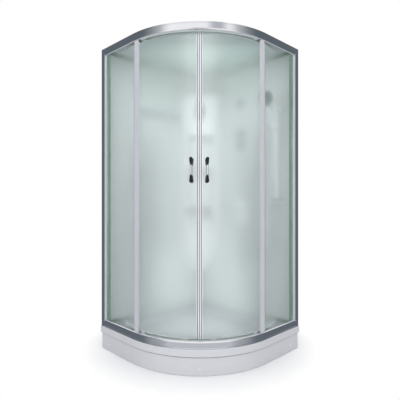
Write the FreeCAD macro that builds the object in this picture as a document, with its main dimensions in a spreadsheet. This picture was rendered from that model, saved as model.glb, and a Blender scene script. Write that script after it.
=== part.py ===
import FreeCAD, Part
import Sketcher

import math
import os
import re

# Quadrant shower enclosure, millimetres. +Z is up. The origin lies on the floor, under the
# middle of the 900 by 900 tray. The two back walls stand along -X and +Y and meet at (-,+).
# The rounded front faces (+,-). Both sliding doors turn about the axis of the front's arc.

Vector = FreeCAD.Vector
doc = FreeCAD.newDocument("quadrant_enclosure")

# ---------------------------------------------------------------- driving sizes
SIZES = [
    ("side", 900, "outer length of each wall side of the tray"),
    ("corner_radius", 550, "radius of the tray's rounded front"),
    ("skirt_bottom", 2, "gap under the front skirt"),
    ("lip_bottom", 104, "underside of the tray's lip"),
    ("tray_top", 144, "height of the tray's rim"),
    ("frame_top", 1914, "top of the posts, rails and walls"),
    ("shell", 5, "tray wall"),
    ("basin_floor", 102, "height of the basin floor"),
    ("basin_front_inset", 105, "rim width along the flat fronts"),
    ("basin_wall_inset", 62, "rim width along the walls"),
    ("basin_radius", 360, "radius of the basin's front"),
    ("basin_edge", 14, "rounding where the basin meets its floor"),
    ("rim_edge", 3, "rounding of the tray's upper outside edge"),
    ("frame_inset", 4, "from the tray's edge to posts and rails"),
    ("post_width", 35, "square wall post"),
    ("post_wall", 2, "wall of the wall post"),
    ("slot_deep", 5, "depth of the slots in a wall post"),
    ("wall_in_post", 12, "how far a back wall reaches into its post"),
    ("glass_in_post", 14, "how far the fixed glass reaches into its post"),
    ("rail_face", 45, "height of each rail's face"),
    ("rail_wall", 3, "thickness of a rail's face"),
    ("rail_depth", 20, "depth of a rail's web"),
    ("rail_lip", 7, "depth of the lip at a rail's inner edge"),
    ("line_start", 5, "from a rail's base to its shadow line"),
    ("line_deep", 1.2, "depth and bevels of the shadow line"),
    ("line_wide", 2, "floor of the shadow line"),
    ("bevel_start", 9, "where a rail's face starts to slope, from its edge"),
    ("bevel_end", 3, "where that slope ends, from the edge"),
    ("bevel_deep", 2.2, "how far that slope goes in"),
    ("lip_thick", 2.6, "thickness of the lip at a rail's edge"),
    ("glass", 6, "thickness of the safety glass"),
    ("fixed_inset", 12, "from the tray's edge to the fixed glass"),
    ("fixed_glass_run", 22, "fixed glass past the end of the flat"),
    ("edge_strip_start", 9, "from the end of the flat to the edge strip"),
    ("edge_strip_end", 41, "from the end of the flat to the edge strip's far side"),
    ("edge_strip_depth", 12, "thickness of the edge strip"),
    ("gasket", 2, "thickness of the glazing gasket"),
    ("gasket_show", 1, "room left at the gasket's end inside the post"),
    ("gasket_inset", 16, "from the glass's end to the gaskets above and below"),
    ("strip_gap", 0.5, "gap between the rails and the upright strips"),
    ("door_back", 26, "from the rails' face back to the middle of the door glass"),
    ("meeting", -45, "direction in which the two doors meet"),
    ("door_gap", 0.9, "angle from the meeting line to the door glass"),
    ("door_end", 46.4, "angle from the meeting line to the far edge"),
    ("door_low", 14, "from the tray's rim up to the door glass"),
    ("door_high", 12, "from the frame's top down to the door glass"),
    ("door_travel", 27, "angle that each door slides"),
    ("wheel_near", 8.5, "angle from the meeting line to the near wheels"),
    ("wheel_far", 37.5, "angle from the meeting line to the far wheels"),
    ("wheel_radius", 11, "rolling radius in the wheel's groove"),
    ("wheel_flange", 12.5, "outer radius of the wheel"),
    ("wheel_width", 8, "width of the wheel"),
    ("wheel_up", 16, "from a rail's edge to the wheels' axes"),
    ("wheel_play", 0.1, "gap between the wheel's groove and the rib"),
    ("rib_back", 43, "from the rails' face back to the running rib"),
    ("rib_width", 2.8, "thickness of the running rib"),
    ("rib_height", 3.4, "height of the running rib"),
    ("track_wall", 2, "wall of the track"),
    ("track_back", 9, "from the rib to the track's inner side"),
    ("track_lip", 3.5, "how far the rib's plate reaches past the rib"),
    ("track_span", 69, "angle from the meeting line to each track end"),
    ("stop_span", 1.2, "angle that a door stop takes up"),
    ("stop_gap", 0.2, "gap between a door stop and the rib"),
    ("stop_thick", 3.2, "thickness of a door stop"),
    ("stop_tall", 16, "height of a door stop"),
    ("stop_near", 3, "angle from the near wheel to the meeting side's stop"),
    ("stop_far", 1.7, "angle past the far wheel's travel to the other stop"),
    ("axle_radius", 3, "wheel axle"),
    ("axle_play", 0.05, "running gap round the axle"),
    ("carriage_wide", 26, "width of a wheel carriage"),
    ("carriage_tall", 40, "height of a wheel carriage"),
    ("carriage_show_low", 10, "how far the lower carriages show above their rail"),
    ("carriage_show_high", 3, "how far the upper carriages show below their rail"),
    ("cap_thick", 4, "thickness of the carriage's outer cap"),
    ("cap_play", 0.3, "gap between curved glass and flat caps"),
    ("block_gap", 2.5, "from the wheel to the carriage block"),
    ("axle_head", 4.6, "radius of the axle's head"),
    ("head_thin", 2.4, "thickness of the axle's head"),
    ("head_play", 0.2, "gap between a wheel and the axle's heads"),
    ("groove_slope", 0.5, "run of the slope at each side of a wheel's groove"),
    ("groove_play", 0.4, "gap between the rib and a wheel's flanges"),
    ("axle_hole", 7, "radius of the holes in the door glass"),
    ("handle_angle", 4.7, "angle from the meeting line to the handles"),
    ("handle_height", 1113, "middle of the handles"),
    ("handle_length", 140, "length of a handle's grip"),
    ("handle_end", 9, "radius of the grip's ends"),
    ("handle_middle", 5.5, "radius of the grip's middle"),
    ("handle_reach", 28, "from the glass to the grip's axis"),
    ("handle_post", 6.5, "radius of a handle's post"),
    ("handle_spacing", 114, "between a handle's two posts"),
    ("handle_flare", 36, "length over which a grip narrows"),
    ("screw_head", 2, "length of the handle screws' heads"),
    ("seal_reach", 0.85, "angle of a seal's lips over the glass"),
    ("seal_lip", 1.5, "thickness of a seal's lips"),
    ("seal_past", 0.5, "angle that the far seal stands past the glass"),
    ("seal_gap", 0.06, "angle from the meeting line to the seal"),
    ("seal_margin", 12, "from a rail's edge to the ends of the door's seals"),
    ("seal_play", 0.1, "gap between the curved glass and a seal's groove"),
    ("sweep_half", 1.2, "half the thickness of the seal under the door glass"),
    ("sweep_play", 0.4, "gap under the seal under the door glass"),
    ("wall_inset", 20, "from the tray's edge to the back walls"),
    ("wall_thick", 6, "thickness of the back walls"),
    ("roof_thick", 5, "thickness of the roof panel"),
    ("roof_inset", 26, "from the tray's edge to the roof's edge"),
    ("roof_rounding", 1.5, "rounding of the roof's upper edge"),
    ("skirt_inset", 7, "from the tray's edge to the skirt"),
    ("skirt_thick", 4, "thickness of the skirt"),
    ("cap_height", 40, "height of the skirt's screw caps"),
    ("cap_radius", 8.5, "radius of a skirt screw cap"),
    ("cap_place", 92, "from the wall side to the end screw caps"),
    ("cap_proud", 2, "how far a screw cap stands out"),
    ("skirt_overlap", 24, "how far the skirt reaches up behind the lip"),
    ("skirt_screw", 12, "length of a skirt screw behind the skirt's face"),
    ("screw_play", 0.3, "gap round the skirt's screws"),
    ("clip_half", 14, "half the width of a skirt clip"),
    ("clip_drop", 16, "from the screw down to the clip's lower end"),
    ("clip_thick", 4, "thickness of a skirt clip"),
    ("tube", 25, "square tube of the tray frame"),
    ("frame_inset_left", 150, "from the tray's left side to the tray frame"),
    ("frame_inset_right", 220, "from the tray's right side to the tray frame"),
    ("frame_inset_back", 100, "from the tray's back side to the tray frame"),
    ("frame_front", 20, "from the middle forwards to the frame's front cross tube"),
    ("frame_cross", 150, "from the middle back to the frame's second cross tube"),
    ("foot_radius", 24, "radius of a foot's pad"),
    ("foot_pad", 12, "height of a foot's pad"),
    ("stud_radius", 6, "radius of a foot's stud"),
    ("foot_nut", 8, "height of a foot's lock nut"),
    ("nut_margin", 4, "how far a foot's nut stands round its stud"),
    ("drain_from_right", 368, "from the tray's right side to the drain"),
    ("drain_from_back", 132, "from the tray's back side to the drain"),
    ("drain_hole", 45, "radius of the drain hole"),
    ("drain_cover", 56, "radius of the drain cover"),
    ("waste_radius", 20, "outer radius of the waste pipe"),
    ("waste_wall", 2, "wall of the waste pipe"),
    ("cup_depth", 46, "depth of the drain's cup under the tray"),
    ("cup_wall", 4, "wall of the drain's cup and its socket"),
    ("cup_margin", 5, "room in the cup round the drain hole"),
    ("cup_run", 30, "from the drain hole's edge to the socket's end"),
    ("pipe_drop", 30, "from the tray down to the waste pipe's axis"),
    ("flange_thick", 4, "thickness of the drain's flange"),
    ("cover_thick", 3, "thickness of the drain's cover"),
    ("plug_depth", 6, "how far the cover's plug reaches down"),
    ("column_side", 193, "corner column along each wall"),
    ("column_bow", 45, "how far the column's front bows out"),
    ("column_below", 156, "from the frame's top down to the column's top"),
    ("column_tall", 1359, "height of the column"),
    ("column_narrow", 346, "height of the column's narrowing foot"),
    ("column_crown", 70, "rounding of the column's top"),
    ("knee_share", 0.86, "the column's width at its knee"),
    ("knee_drop", 0.6, "how far down the narrowing the knee lies"),
    ("foot_share", 0.5, "the column's width at its foot"),
    ("skin_share", 0.965, "the hollow behind the column's skin"),
    ("niche_wide", 176, "width of a niche"),
    ("niche_back", 78, "from the corner to the back of a niche"),
    ("niche_first", 324, "from the column's top down to the highest niche"),
    ("niche_high_tall", 182, "height of the highest niche"),
    ("niche_step", 57, "between the highest and the middle niche"),
    ("niche_mid_tall", 252, "height of the middle niche"),
    ("niche_last_step", 38, "between the middle and the lowest niche"),
    ("niche_low_tall", 129, "height of the lowest niche"),
    ("mirror_wide", 62, "width of the oval mirror"),
    ("mirror_tall", 140, "height of the oval mirror"),
    ("mirror_drop", 146, "from the column's top down to the mirror's middle"),
    ("mirror_thick", 4, "thickness of the mirror"),
    ("mirror_gap", 0.1, "gap between the column and the mirror"),
    ("bars_drop", 354, "from the frame's top down to the towel bar and the riser's end"),
    ("towel_near", 280, "from the side's end at the corner to the bar"),
    ("towel_length", 340, "length of the towel bar"),
    ("towel_radius", 8, "radius of the towel bar"),
    ("towel_reach", 62, "from the wall to the towel bar"),
    ("towel_arm", 9, "radius of a towel bracket's arm"),
    ("rose_radius", 20, "radius of the brackets' wall plates"),
    ("rose_thick", 5, "thickness of the brackets' wall plates"),
    ("clasp", 4, "wall of the brackets' clasps"),
    ("clasp_towel", 24, "length of a towel bracket's clasp"),
    ("clasp_riser", 28, "length of a riser bracket's clasp"),
    ("bracket_inset", 14, "from the towel bar's ends to its brackets"),
    ("riser_from_right", 134, "from the tray's right side to the riser bar"),
    ("riser_long", 630, "length of the riser bar"),
    ("riser_radius", 9, "radius of the riser bar"),
    ("riser_reach", 45, "from the wall to the riser bar"),
    ("riser_arm", 8, "radius of a riser bracket's arm"),
    ("riser_inset", 20, "from the riser bar's ends to its brackets"),
    ("slider_drop", 120, "from the riser bar's end down to the slider's middle"),
    ("slider_radius", 16, "radius of the slider"),
    ("slider_tall", 46, "height of the slider"),
    ("slider_play", 0.1, "gap between the slider and the bar"),
    ("holder_half", 8, "half the width of the slider's arm"),
    ("holder_tall", 22, "height of the slider's arm"),
    ("holder_wall", 5, "wall of the handset's holder"),
    ("holder_long", 32, "length of the handset's holder"),
    ("holder_play", 0.2, "gap between the holder and the grip"),
    ("holder_reach", 52, "from the riser bar to the handset's holder"),
    ("handset_tilt", 16, "lean of the handset"),
    ("handset_radius", 11.5, "radius of the handset's grip"),
    ("handset_length", 168, "length of the handset's grip"),
    ("handset_below", 46, "grip below the holder"),
    ("head_radius", 44, "radius of the shower head"),
    ("head_thick", 20, "thickness of the shower head"),
    ("head_rim", 6, "thickness of the shower head's rim"),
    ("head_slope", 16, "how much the shower head narrows behind"),
    ("spray_margin", 5, "from the head's edge to its spray face"),
    ("spray_thick", 2.5, "thickness of the spray face"),
    ("nut_tall", 20, "height of the nut under the handset"),
    ("nut_wall", 3, "how far that nut stands round the hose"),
    ("mixer_from_right", 458, "from the tray's right side to the mixer"),
    ("mixer_height", 862, "middle of the mixer"),
    ("mixer_wide", 92, "width of the mixer's plate"),
    ("mixer_tall", 178, "height of the mixer's plate"),
    ("mixer_plate", 8, "thickness of the mixer's plate"),
    ("supply_spacing", 110, "between the two supply unions"),
    ("supply_radius", 10.5, "radius of a supply union"),
    ("supply_reach", 18, "supply union behind the wall"),
    ("mixer_rounding", 14, "rounding of the mixer plate's corners"),
    ("barrel_radius", 26, "radius of the mixer's barrel"),
    ("barrel_long", 34, "length of the mixer's barrel"),
    ("barrel_up", 38, "from the mixer's middle to its barrel"),
    ("knob_down", 30, "from the mixer's middle to its knob"),
    ("outlet_radius", 10, "radius of the mixer's hose outlet"),
    ("outlet_out", 24, "from the mixer's plate to its hose outlet"),
    ("outlet_up", 18, "from the plate's lower end to the outlet's arm"),
    ("lever_radius", 24, "radius of the lever's cap at the mixer"),
    ("lever_narrow", 4, "how much the lever's cap narrows"),
    ("lever_cap", 18, "length of the lever's cap"),
    ("lever_half", 6, "half the width of the lever's blade"),
    ("lever_high", 104, "from the mixer's middle to the lever's tip"),
    ("knob_radius", 15, "radius of the diverter knob"),
    ("knob_long", 22, "length of the diverter knob"),
    ("jet_high_drop", 271, "from the frame's top down to the highest body jet"),
    ("jet_mid_drop", 492, "from the frame's top down to the middle body jet"),
    ("jet_low_drop", 571, "from the frame's top down to the lowest body jet"),
    ("jet_rim", 5, "width of a body jet's rim"),
    ("jet_flare", 4, "how much a body jet widens at the wall"),
    ("jet_radius", 33, "radius of a body jet"),
    ("jet_thick", 14, "how far a body jet stands out"),
    ("hose_radius", 7, "radius of the shower hose"),
    ("hose_play", 0.2, "gap between the hose's end and the handset's nut"),
    ("bolt_radius", 2.5, "radius of the assembly screws"),
    ("bolt_head", 4.5, "radius of the assembly screws' heads"),
]

# Sizes worked out from the driving ones.
DERIVED = [
    ("half", "side / 2"),
    ("arc_x", "half - corner_radius"),
    ("arc_y", "corner_radius - half"),
    ("frame_radius", "corner_radius - frame_inset"),
    ("frame_edge", "half - frame_inset"),
    ("post_inner", "frame_edge - post_width"),
    ("door_radius", "frame_radius - door_back"),
    ("track_radius", "frame_radius - rib_back"),
    ("door_bottom", "tray_top + door_low"),
    ("door_top", "frame_top - door_high"),
    ("drain_x", "half - drain_from_right"),
    ("drain_y", "half - drain_from_back"),
    ("column_top", "frame_top - column_below"),
    ("column_foot", "column_top - column_tall"),
    ("column_waist", "column_foot + column_narrow"),
    ("niche_high_top", "column_top - niche_first"),
    ("niche_high", "niche_high_top - niche_high_tall"),
    ("niche_mid_top", "niche_high - niche_step"),
    ("niche_mid", "niche_mid_top - niche_mid_tall"),
    ("niche_low_top", "niche_mid - niche_last_step"),
    ("niche_low", "niche_low_top - niche_low_tall"),
    ("mirror_height", "column_top - mirror_drop"),
    ("towel_height", "frame_top - bars_drop"),
    ("riser_x", "half - riser_from_right"),
    ("riser_high", "frame_top - bars_drop"),
    ("riser_low", "riser_high - riser_long"),
    ("slider_height", "riser_high - slider_drop"),
    ("mixer_x", "half - mixer_from_right"),
    ("jet_low", "frame_top - jet_low_drop"),
    ("jet_mid", "frame_top - jet_mid_drop"),
    ("jet_high", "frame_top - jet_high_drop"),
    ("wall_face", "half - wall_inset - wall_thick"),
    ("wall_back", "half - wall_inset"),
    ("wheel_drop", "rail_face - wheel_up"),
    ("rib_edge", "wheel_drop + wheel_radius + wheel_play"),
    ("plate_edge", "rib_edge + rib_height"),
    ("door_outer", "door_radius + glass / 2"),
    ("door_inner", "door_radius - glass / 2"),
    ("fixed_outer", "half - fixed_inset"),
    ("fixed_low", "tray_top + rail_wall + gasket"),
    ("fixed_high", "frame_top - rail_wall - gasket"),
    ("rail_low_top", "tray_top + rail_face"),
    ("rail_high_bottom", "frame_top - rail_face"),
    ("track_inner", "track_radius - rib_width / 2 - track_back"),
    ("track_outer", "frame_radius - rail_depth - strip_gap"),
    ("wheel_high", "frame_top - wheel_drop"),
    ("wheel_low", "tray_top + wheel_drop"),
    ("wheel_in", "track_radius - wheel_width / 2"),
    ("wheel_out", "track_radius + wheel_width / 2"),
    ("basin_edge_x", "half - basin_front_inset"),
    ("basin_arc_x", "basin_edge_x - basin_radius"),
    ("basin_wall", "half - basin_wall_inset"),
    ("tub_edge_x", "basin_edge_x + shell"),
    ("tub_wall", "basin_wall + shell"),
    ("lip_inner", "half - shell"),
    ("roof_wall", "wall_back"),
    ("roof_edge", "half - roof_inset"),
    ("tub_bottom", "basin_floor - shell"),
    ("skirt_radius", "corner_radius - skirt_inset"),
    ("skirt_start", "half - skirt_inset"),
    ("frame_high", "tub_bottom"),
    ("frame_low", "frame_high - tube"),
    ("column_reach", "column_side / sqrt(2)"),
    ("column_front", "column_reach + column_bow"),
    ("column_knee", "column_waist - (column_waist - column_foot) * knee_drop"),
    ("riser_y", "wall_face - riser_reach"),
    ("handle_out", "door_outer + handle_reach"),
    ("handle_in", "door_inner - handle_reach"),
]
ALIASES = {name for name, *rest in SIZES + DERIVED}


def formula(text):
    """The text with each size written the way the sheet names it."""
    def named(found):
        word = found.group()
        return "Sizes." + word if word in ALIASES else word
    return re.sub(r"[a-z][a-z_]*", named, str(text))


sheet = doc.addObject("Spreadsheet::Sheet", "Sizes")
for row, (name, value, note) in enumerate(SIZES, 1):
    sheet.set(f"A{row}", note)
    sheet.set(f"B{row}", str(value))
    sheet.setAlias(f"B{row}", name)
for row, (name, text) in enumerate(DERIVED, len(SIZES) + 1):
    sheet.set(f"A{row}", "worked out")
    sheet.set(f"B{row}", "=" + text)
    sheet.setAlias(f"B{row}", name)
doc.recompute()


def size(name):
    """The present value of one cell."""
    return float(sheet.get(name))


# ---------------------------------------------------------------- small tools
nodes = []


def bind(thing, **properties):
    """Ties properties of an object to the sheet."""
    for name, text in properties.items():
        thing.setExpression(name, formula(text))
    return thing


def place(thing, x="0", y="0", z="0", turn=None):
    """Ties the position and the turn about Z to the sheet."""
    for axis, text in (("x", x), ("y", y), ("z", z)):
        thing.setExpression(f".Placement.Base.{axis}", formula(text))
    if turn is not None:
        thing.setExpression(".Placement.Rotation.Angle", formula(turn))
    return thing


def node(thing, label):
    """Lists an object as one of the pieces that are written out."""
    thing.Label = label
    nodes.append(thing)
    return thing


def block(low, high):
    """A box between two corners, each given as three formulas."""
    box = doc.addObject("Part::Box", "block")
    lengths = [f"({b}) - ({a})" for a, b in zip(low, high)]
    bind(box, Length=lengths[0], Width=lengths[1], Height=lengths[2])
    return place(box, *low)


def rod(radius, length, x="0", y="0", z="0", along="z"):
    """A cylinder that starts at a point and runs along x, y, z or -y."""
    cylinder = doc.addObject("Part::Cylinder", "rod")
    bind(cylinder, Radius=radius, Height=length)
    aim(cylinder, along)
    return place(cylinder, x, y, z)


def taper(first, last, length, x="0", y="0", z="0", along="z"):
    """A cone from one radius to another."""
    cone = doc.addObject("Part::Cone", "taper")
    bind(cone, Radius1=first, Radius2=last, Height=length)
    aim(cone, along)
    return place(cone, x, y, z)


def ball(radius, x="0", y="0", z="0"):
    """A sphere about a point."""
    sphere = doc.addObject("Part::Sphere", "ball")
    bind(sphere, Radius=radius)
    return place(sphere, x, y, z)


def aim(thing, along):
    """Turns a piece drawn along z to another axis."""
    turns = {"x": (Vector(0, 1, 0), 90), "y": (Vector(1, 0, 0), -90), "-y": (Vector(1, 0, 0), 90)}
    if along in turns:
        thing.Placement.Rotation = FreeCAD.Rotation(*turns[along])


def sector(outer, inner, low, high, span, start):
    """Part of a ring about the front's axis, from the angle start over the angle span."""
    rings = []
    for radius, extra in ((outer, "0"), (inner, "1")):
        ring = doc.addObject("Part::Cylinder", "ring")
        bind(ring, Radius=radius, Height=f"({high}) - ({low}) + 2 * {extra}")
        if extra == "0":
            bind(ring, Angle=span)
        place(ring, "arc_x", "arc_y", f"({low}) - {extra}", start)
        rings.append(ring)
    return cut(rings[0], rings[1])


def joined(parts, name="joined"):
    """One solid out of touching or overlapping ones."""
    fuse = doc.addObject("Part::MultiFuse", name)
    fuse.Shapes = parts
    fuse.Refine = True
    return fuse


def cut(base, tool, name="cut"):
    """The base less the tool."""
    difference = doc.addObject("Part::Cut", name)
    difference.Base = base
    difference.Tool = tool
    return difference


def group(parts, label):
    """Separate solids that share one node."""
    compound = doc.addObject("Part::Compound", label)
    compound.Links = parts
    return node(compound, label)


def radial(thing, angle, z="0"):
    """Moves a piece drawn from the front's axis along +X to its angle and height."""
    return place(thing, "arc_x", "arc_y", z, angle)


def aimed(parts, angle, z="0"):
    """Pieces drawn from the front's axis along +X, as one, at their angle and height."""
    together = doc.addObject("Part::Compound", "aimed")
    together.Links = parts
    return radial(together, angle, z)


def mirrored_block(hand, low, high):
    """A box given for the left side, or its mirror image on the right side."""
    if hand == "left":
        return block(low, high)
    (x0, y0, z0), (x1, y1, z1) = low, high
    return block((f"-({y1})", f"-({x1})", z0), (f"-({y0})", f"-({x0})", z1))


def door_angle(hand, first, last=None):
    """The angle where a stretch of a door starts, counted from the meeting line."""
    if hand == "right":
        return f"meeting + ({first})"
    return f"meeting - ({last if last is not None else first})"


def new_body(label):
    """An empty part design body."""
    body = doc.addObject("PartDesign::Body", label)
    body.Label = label + "_form"
    return body


def origin_of(body, role):
    """One of the body's own origin planes or axes."""
    return next(feature for feature in body.Origin.OriginFeatures if feature.Role == role)


def new_sketch(body, name, plane, offset="0"):
    """A sketch on an origin plane of the body, moved along the plane's normal."""
    sketch = body.newObject("Sketcher::SketchObject", name)
    sketch.AttachmentSupport = [(origin_of(body, plane), "")]
    sketch.MapMode = "FlatFace"
    sketch.setExpression(".AttachmentOffset.Base.z", formula(offset))
    return sketch


def tie(sketch, kind, *where, text, guess=1.0):
    """Adds a dimension to the sketch and ties it to the sheet."""
    index = sketch.addConstraint(Sketcher.Constraint(kind, *where, guess))
    sketch.setExpression(f"Constraints[{index}]", formula(text))


def polygon(sketch, corners):
    """A closed outline with straight sides, each corner held by two dimensions."""
    count = len(corners)
    steps = [2 * math.pi * index / count for index in range(count)]
    guesses = [Vector(math.cos(step), math.sin(step), 0) * size("half") for step in steps]
    for index in range(count):
        side = Part.LineSegment(guesses[index], guesses[(index + 1) % count])
        sketch.addGeometry(side, False)
    for index in range(count):
        sketch.addConstraint(Sketcher.Constraint("Coincident", index, 2, (index + 1) % count, 1))
    for index, (x, y) in enumerate(corners):
        tie(sketch, "DistanceX", -1, 1, index, 1, text=x, guess=guesses[index].x)
        tie(sketch, "DistanceY", -1, 1, index, 1, text=y, guess=guesses[index].y)
    return sketch


def quadrant(sketch, wall, edge, centre):
    """The tray's outline: two wall sides, two flat fronts and the arc between them.

    wall, edge and centre name cells: the distance from the middle to the wall sides and to
    the flat fronts, and the x of the arc's centre, whose y is its negative.
    """
    w, e, c = size(wall), size(edge), size(centre)
    corners = [Vector(-w, w, 0), Vector(-w, -e, 0), Vector(c, -e, 0), Vector(e, -c, 0)]
    corners.append(Vector(e, w, 0))
    for first, second in ((0, 1), (1, 2)):
        sketch.addGeometry(Part.LineSegment(corners[first], corners[second]), False)
    circle = Part.Circle(Vector(c, -c, 0), Vector(0, 0, 1), e - c)
    sketch.addGeometry(Part.ArcOfCircle(circle, -math.pi / 2, 0), False)
    for first, second in ((3, 4), (4, 0)):
        sketch.addGeometry(Part.LineSegment(corners[first], corners[second]), False)
    for index in range(4):
        sketch.addConstraint(Sketcher.Constraint("Coincident", index, 2, index + 1, 1))
    sketch.addConstraint(Sketcher.Constraint("Coincident", 4, 2, 0, 1))
    sketch.addConstraint(Sketcher.Constraint("Vertical", 0))
    sketch.addConstraint(Sketcher.Constraint("Horizontal", 1))
    sketch.addConstraint(Sketcher.Constraint("Vertical", 3))
    sketch.addConstraint(Sketcher.Constraint("Horizontal", 4))
    tie(sketch, "DistanceX", -1, 1, 0, 1, text="-" + wall, guess=-w)
    tie(sketch, "DistanceY", -1, 1, 0, 1, text=wall, guess=w)
    tie(sketch, "DistanceY", -1, 1, 1, 1, text="-" + edge, guess=-e)
    tie(sketch, "DistanceX", -1, 1, 2, 3, text=centre, guess=c)
    tie(sketch, "DistanceY", -1, 1, 2, 3, text="-" + centre, guess=-c)
    tie(sketch, "DistanceX", -1, 1, 1, 2, text=centre, guess=c)
    tie(sketch, "DistanceY", -1, 1, 3, 1, text="-" + centre, guess=-c)
    return sketch


def front_path(body, name, start, inset_radius, height):
    """The line, arc and line that a rail or the skirt follows round the front."""
    sketch = new_sketch(body, name, "XY_Plane", height)
    s, c, r = size(start), size("arc_x"), size(inset_radius)
    edge = c + r
    sketch.addGeometry(Part.LineSegment(Vector(-s, -edge, 0), Vector(c, -edge, 0)), False)
    circle = Part.Circle(Vector(c, -c, 0), Vector(0, 0, 1), r)
    sketch.addGeometry(Part.ArcOfCircle(circle, -math.pi / 2, 0), False)
    sketch.addGeometry(Part.LineSegment(Vector(edge, -c, 0), Vector(edge, s, 0)), False)
    sketch.addConstraint(Sketcher.Constraint("Coincident", 0, 2, 1, 1))
    sketch.addConstraint(Sketcher.Constraint("Coincident", 1, 2, 2, 1))
    sketch.addConstraint(Sketcher.Constraint("Horizontal", 0))
    sketch.addConstraint(Sketcher.Constraint("Vertical", 2))
    tie(sketch, "DistanceX", -1, 1, 1, 3, text="arc_x", guess=c)
    tie(sketch, "DistanceY", -1, 1, 1, 3, text="arc_y", guess=-c)
    tie(sketch, "DistanceX", -1, 1, 0, 2, text="arc_x", guess=c)
    tie(sketch, "DistanceY", -1, 1, 2, 1, text="arc_y", guess=-c)
    tie(sketch, "Radius", 1, text=inset_radius, guess=r)
    tie(sketch, "DistanceX", -1, 1, 0, 1, text="-" + start, guess=-s)
    tie(sketch, "DistanceY", -1, 1, 2, 2, text=start, guess=s)
    return sketch


def swept(label, start, radius, height, corners):
    """A bar of one cross section along the front; corners are (outwards, up) from its path."""
    body = new_body(label)
    path = front_path(body, label + "_path", start, radius, height)
    section = new_sketch(body, label + "_section", "YZ_Plane", "-" + start)
    base = f"-arc_x - {radius}"
    polygon(section, [(f"{base} - ({out})", f"{height} + ({up})") for out, up in corners])
    pipe = body.newObject("PartDesign::AdditivePipe", label + "_sweep")
    pipe.Profile = section
    pipe.Spine = (path, ["Edge1", "Edge2", "Edge3"])
    pipe.Transition = "Transformed"
    return body


def turned(label, corners, span, start):
    """A section of (radius, height) corners turned about the front's axis."""
    body = new_body(label)
    section = new_sketch(body, label + "_section", "XZ_Plane")
    polygon(section, corners)
    revolution = body.newObject("PartDesign::Revolution", label + "_turn")
    revolution.Profile = section
    revolution.ReferenceAxis = (origin_of(body, "Z_Axis"), [""])
    bind(revolution, Angle=span)
    return radial(body, start)


def spun(label, corners):
    """A section of (place along X, radius) corners turned fully about the body's X axis."""
    body = new_body(label)
    section = new_sketch(body, label + "_section", "XY_Plane")
    polygon(section, corners)
    revolution = body.newObject("PartDesign::Revolution", label + "_turn")
    revolution.Profile = section
    revolution.ReferenceAxis = (origin_of(body, "X_Axis"), [""])
    revolution.Angle = 360
    return body


def rounded(body, radius, picks):
    """Rounds the edges of the body's tip that pass the test."""
    doc.recompute()
    base = body.Tip
    names = [f"Edge{index}" for index, edge in enumerate(base.Shape.Edges, 1) if picks(edge)]
    fillet = body.newObject("PartDesign::Fillet", body.Label + "_rounding")
    fillet.Base = (base, names)
    bind(fillet, Radius=radius)
    return fillet


def level(edge, height):
    """True for an edge that lies flat at this height."""
    box = edge.BoundBox
    return abs(box.ZMin - height) < 0.01 and abs(box.ZMax - height) < 0.01


# ---------------------------------------------------------------- tray and what carries it
def raised(body, name, outline, length):
    """A pad of this sketch."""
    pad = body.newObject("PartDesign::Pad", name)
    pad.Profile = outline
    bind(pad, Length=length)
    return pad


def sunk(body, name, outline, length, upwards=False):
    """A pocket of this sketch, downwards unless upwards is set."""
    pocket = body.newObject("PartDesign::Pocket", name)
    pocket.Profile = outline
    pocket.Reversed = upwards
    bind(pocket, Length=length)
    return pocket


def make_tray():
    """The acrylic tray: a rim with an outer lip, and a basin hanging in it."""
    body = new_body("shower_tray")
    outline = new_sketch(body, "rim_outline", "XY_Plane", "lip_bottom")
    raised(body, "rim", quadrant(outline, "half", "half", "arc_x"), "tray_top - lip_bottom")
    rounded(body, "rim_edge", lambda edge: level(edge, size("tray_top")))
    under = new_sketch(body, "rim_underside", "XY_Plane", "lip_bottom")
    quadrant(under, "lip_inner", "lip_inner", "arc_x")
    sunk(body, "rim_hollow", under, "tray_top - lip_bottom - shell", upwards=True)
    tub = new_sketch(body, "tub_outline", "XY_Plane", "tub_bottom")
    quadrant(tub, "tub_wall", "tub_edge_x", "basin_arc_x")
    raised(body, "tub", tub, "tray_top - shell - tub_bottom")
    basin = new_sketch(body, "basin_outline", "XY_Plane", "tray_top")
    quadrant(basin, "basin_wall", "basin_edge_x", "basin_arc_x")
    sunk(body, "basin", basin, "tray_top - basin_floor")
    rounded(body, "basin_edge", lambda edge: level(edge, size("basin_floor")))
    drain = new_sketch(body, "drain_outline", "XY_Plane", "basin_floor")
    x, y, radius = size("drain_x"), size("drain_y"), size("drain_hole")
    drain.addGeometry(Part.Circle(Vector(x, y, 0), Vector(0, 0, 1), radius), False)
    tie(drain, "Radius", 0, text="drain_hole", guess=radius)
    tie(drain, "DistanceX", -1, 1, 0, 3, text="drain_x", guess=x)
    tie(drain, "DistanceY", -1, 1, 0, 3, text="drain_y", guess=y)
    sunk(body, "drain_opening", drain, "shell + 1")
    node(body, "shower_tray")


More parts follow.
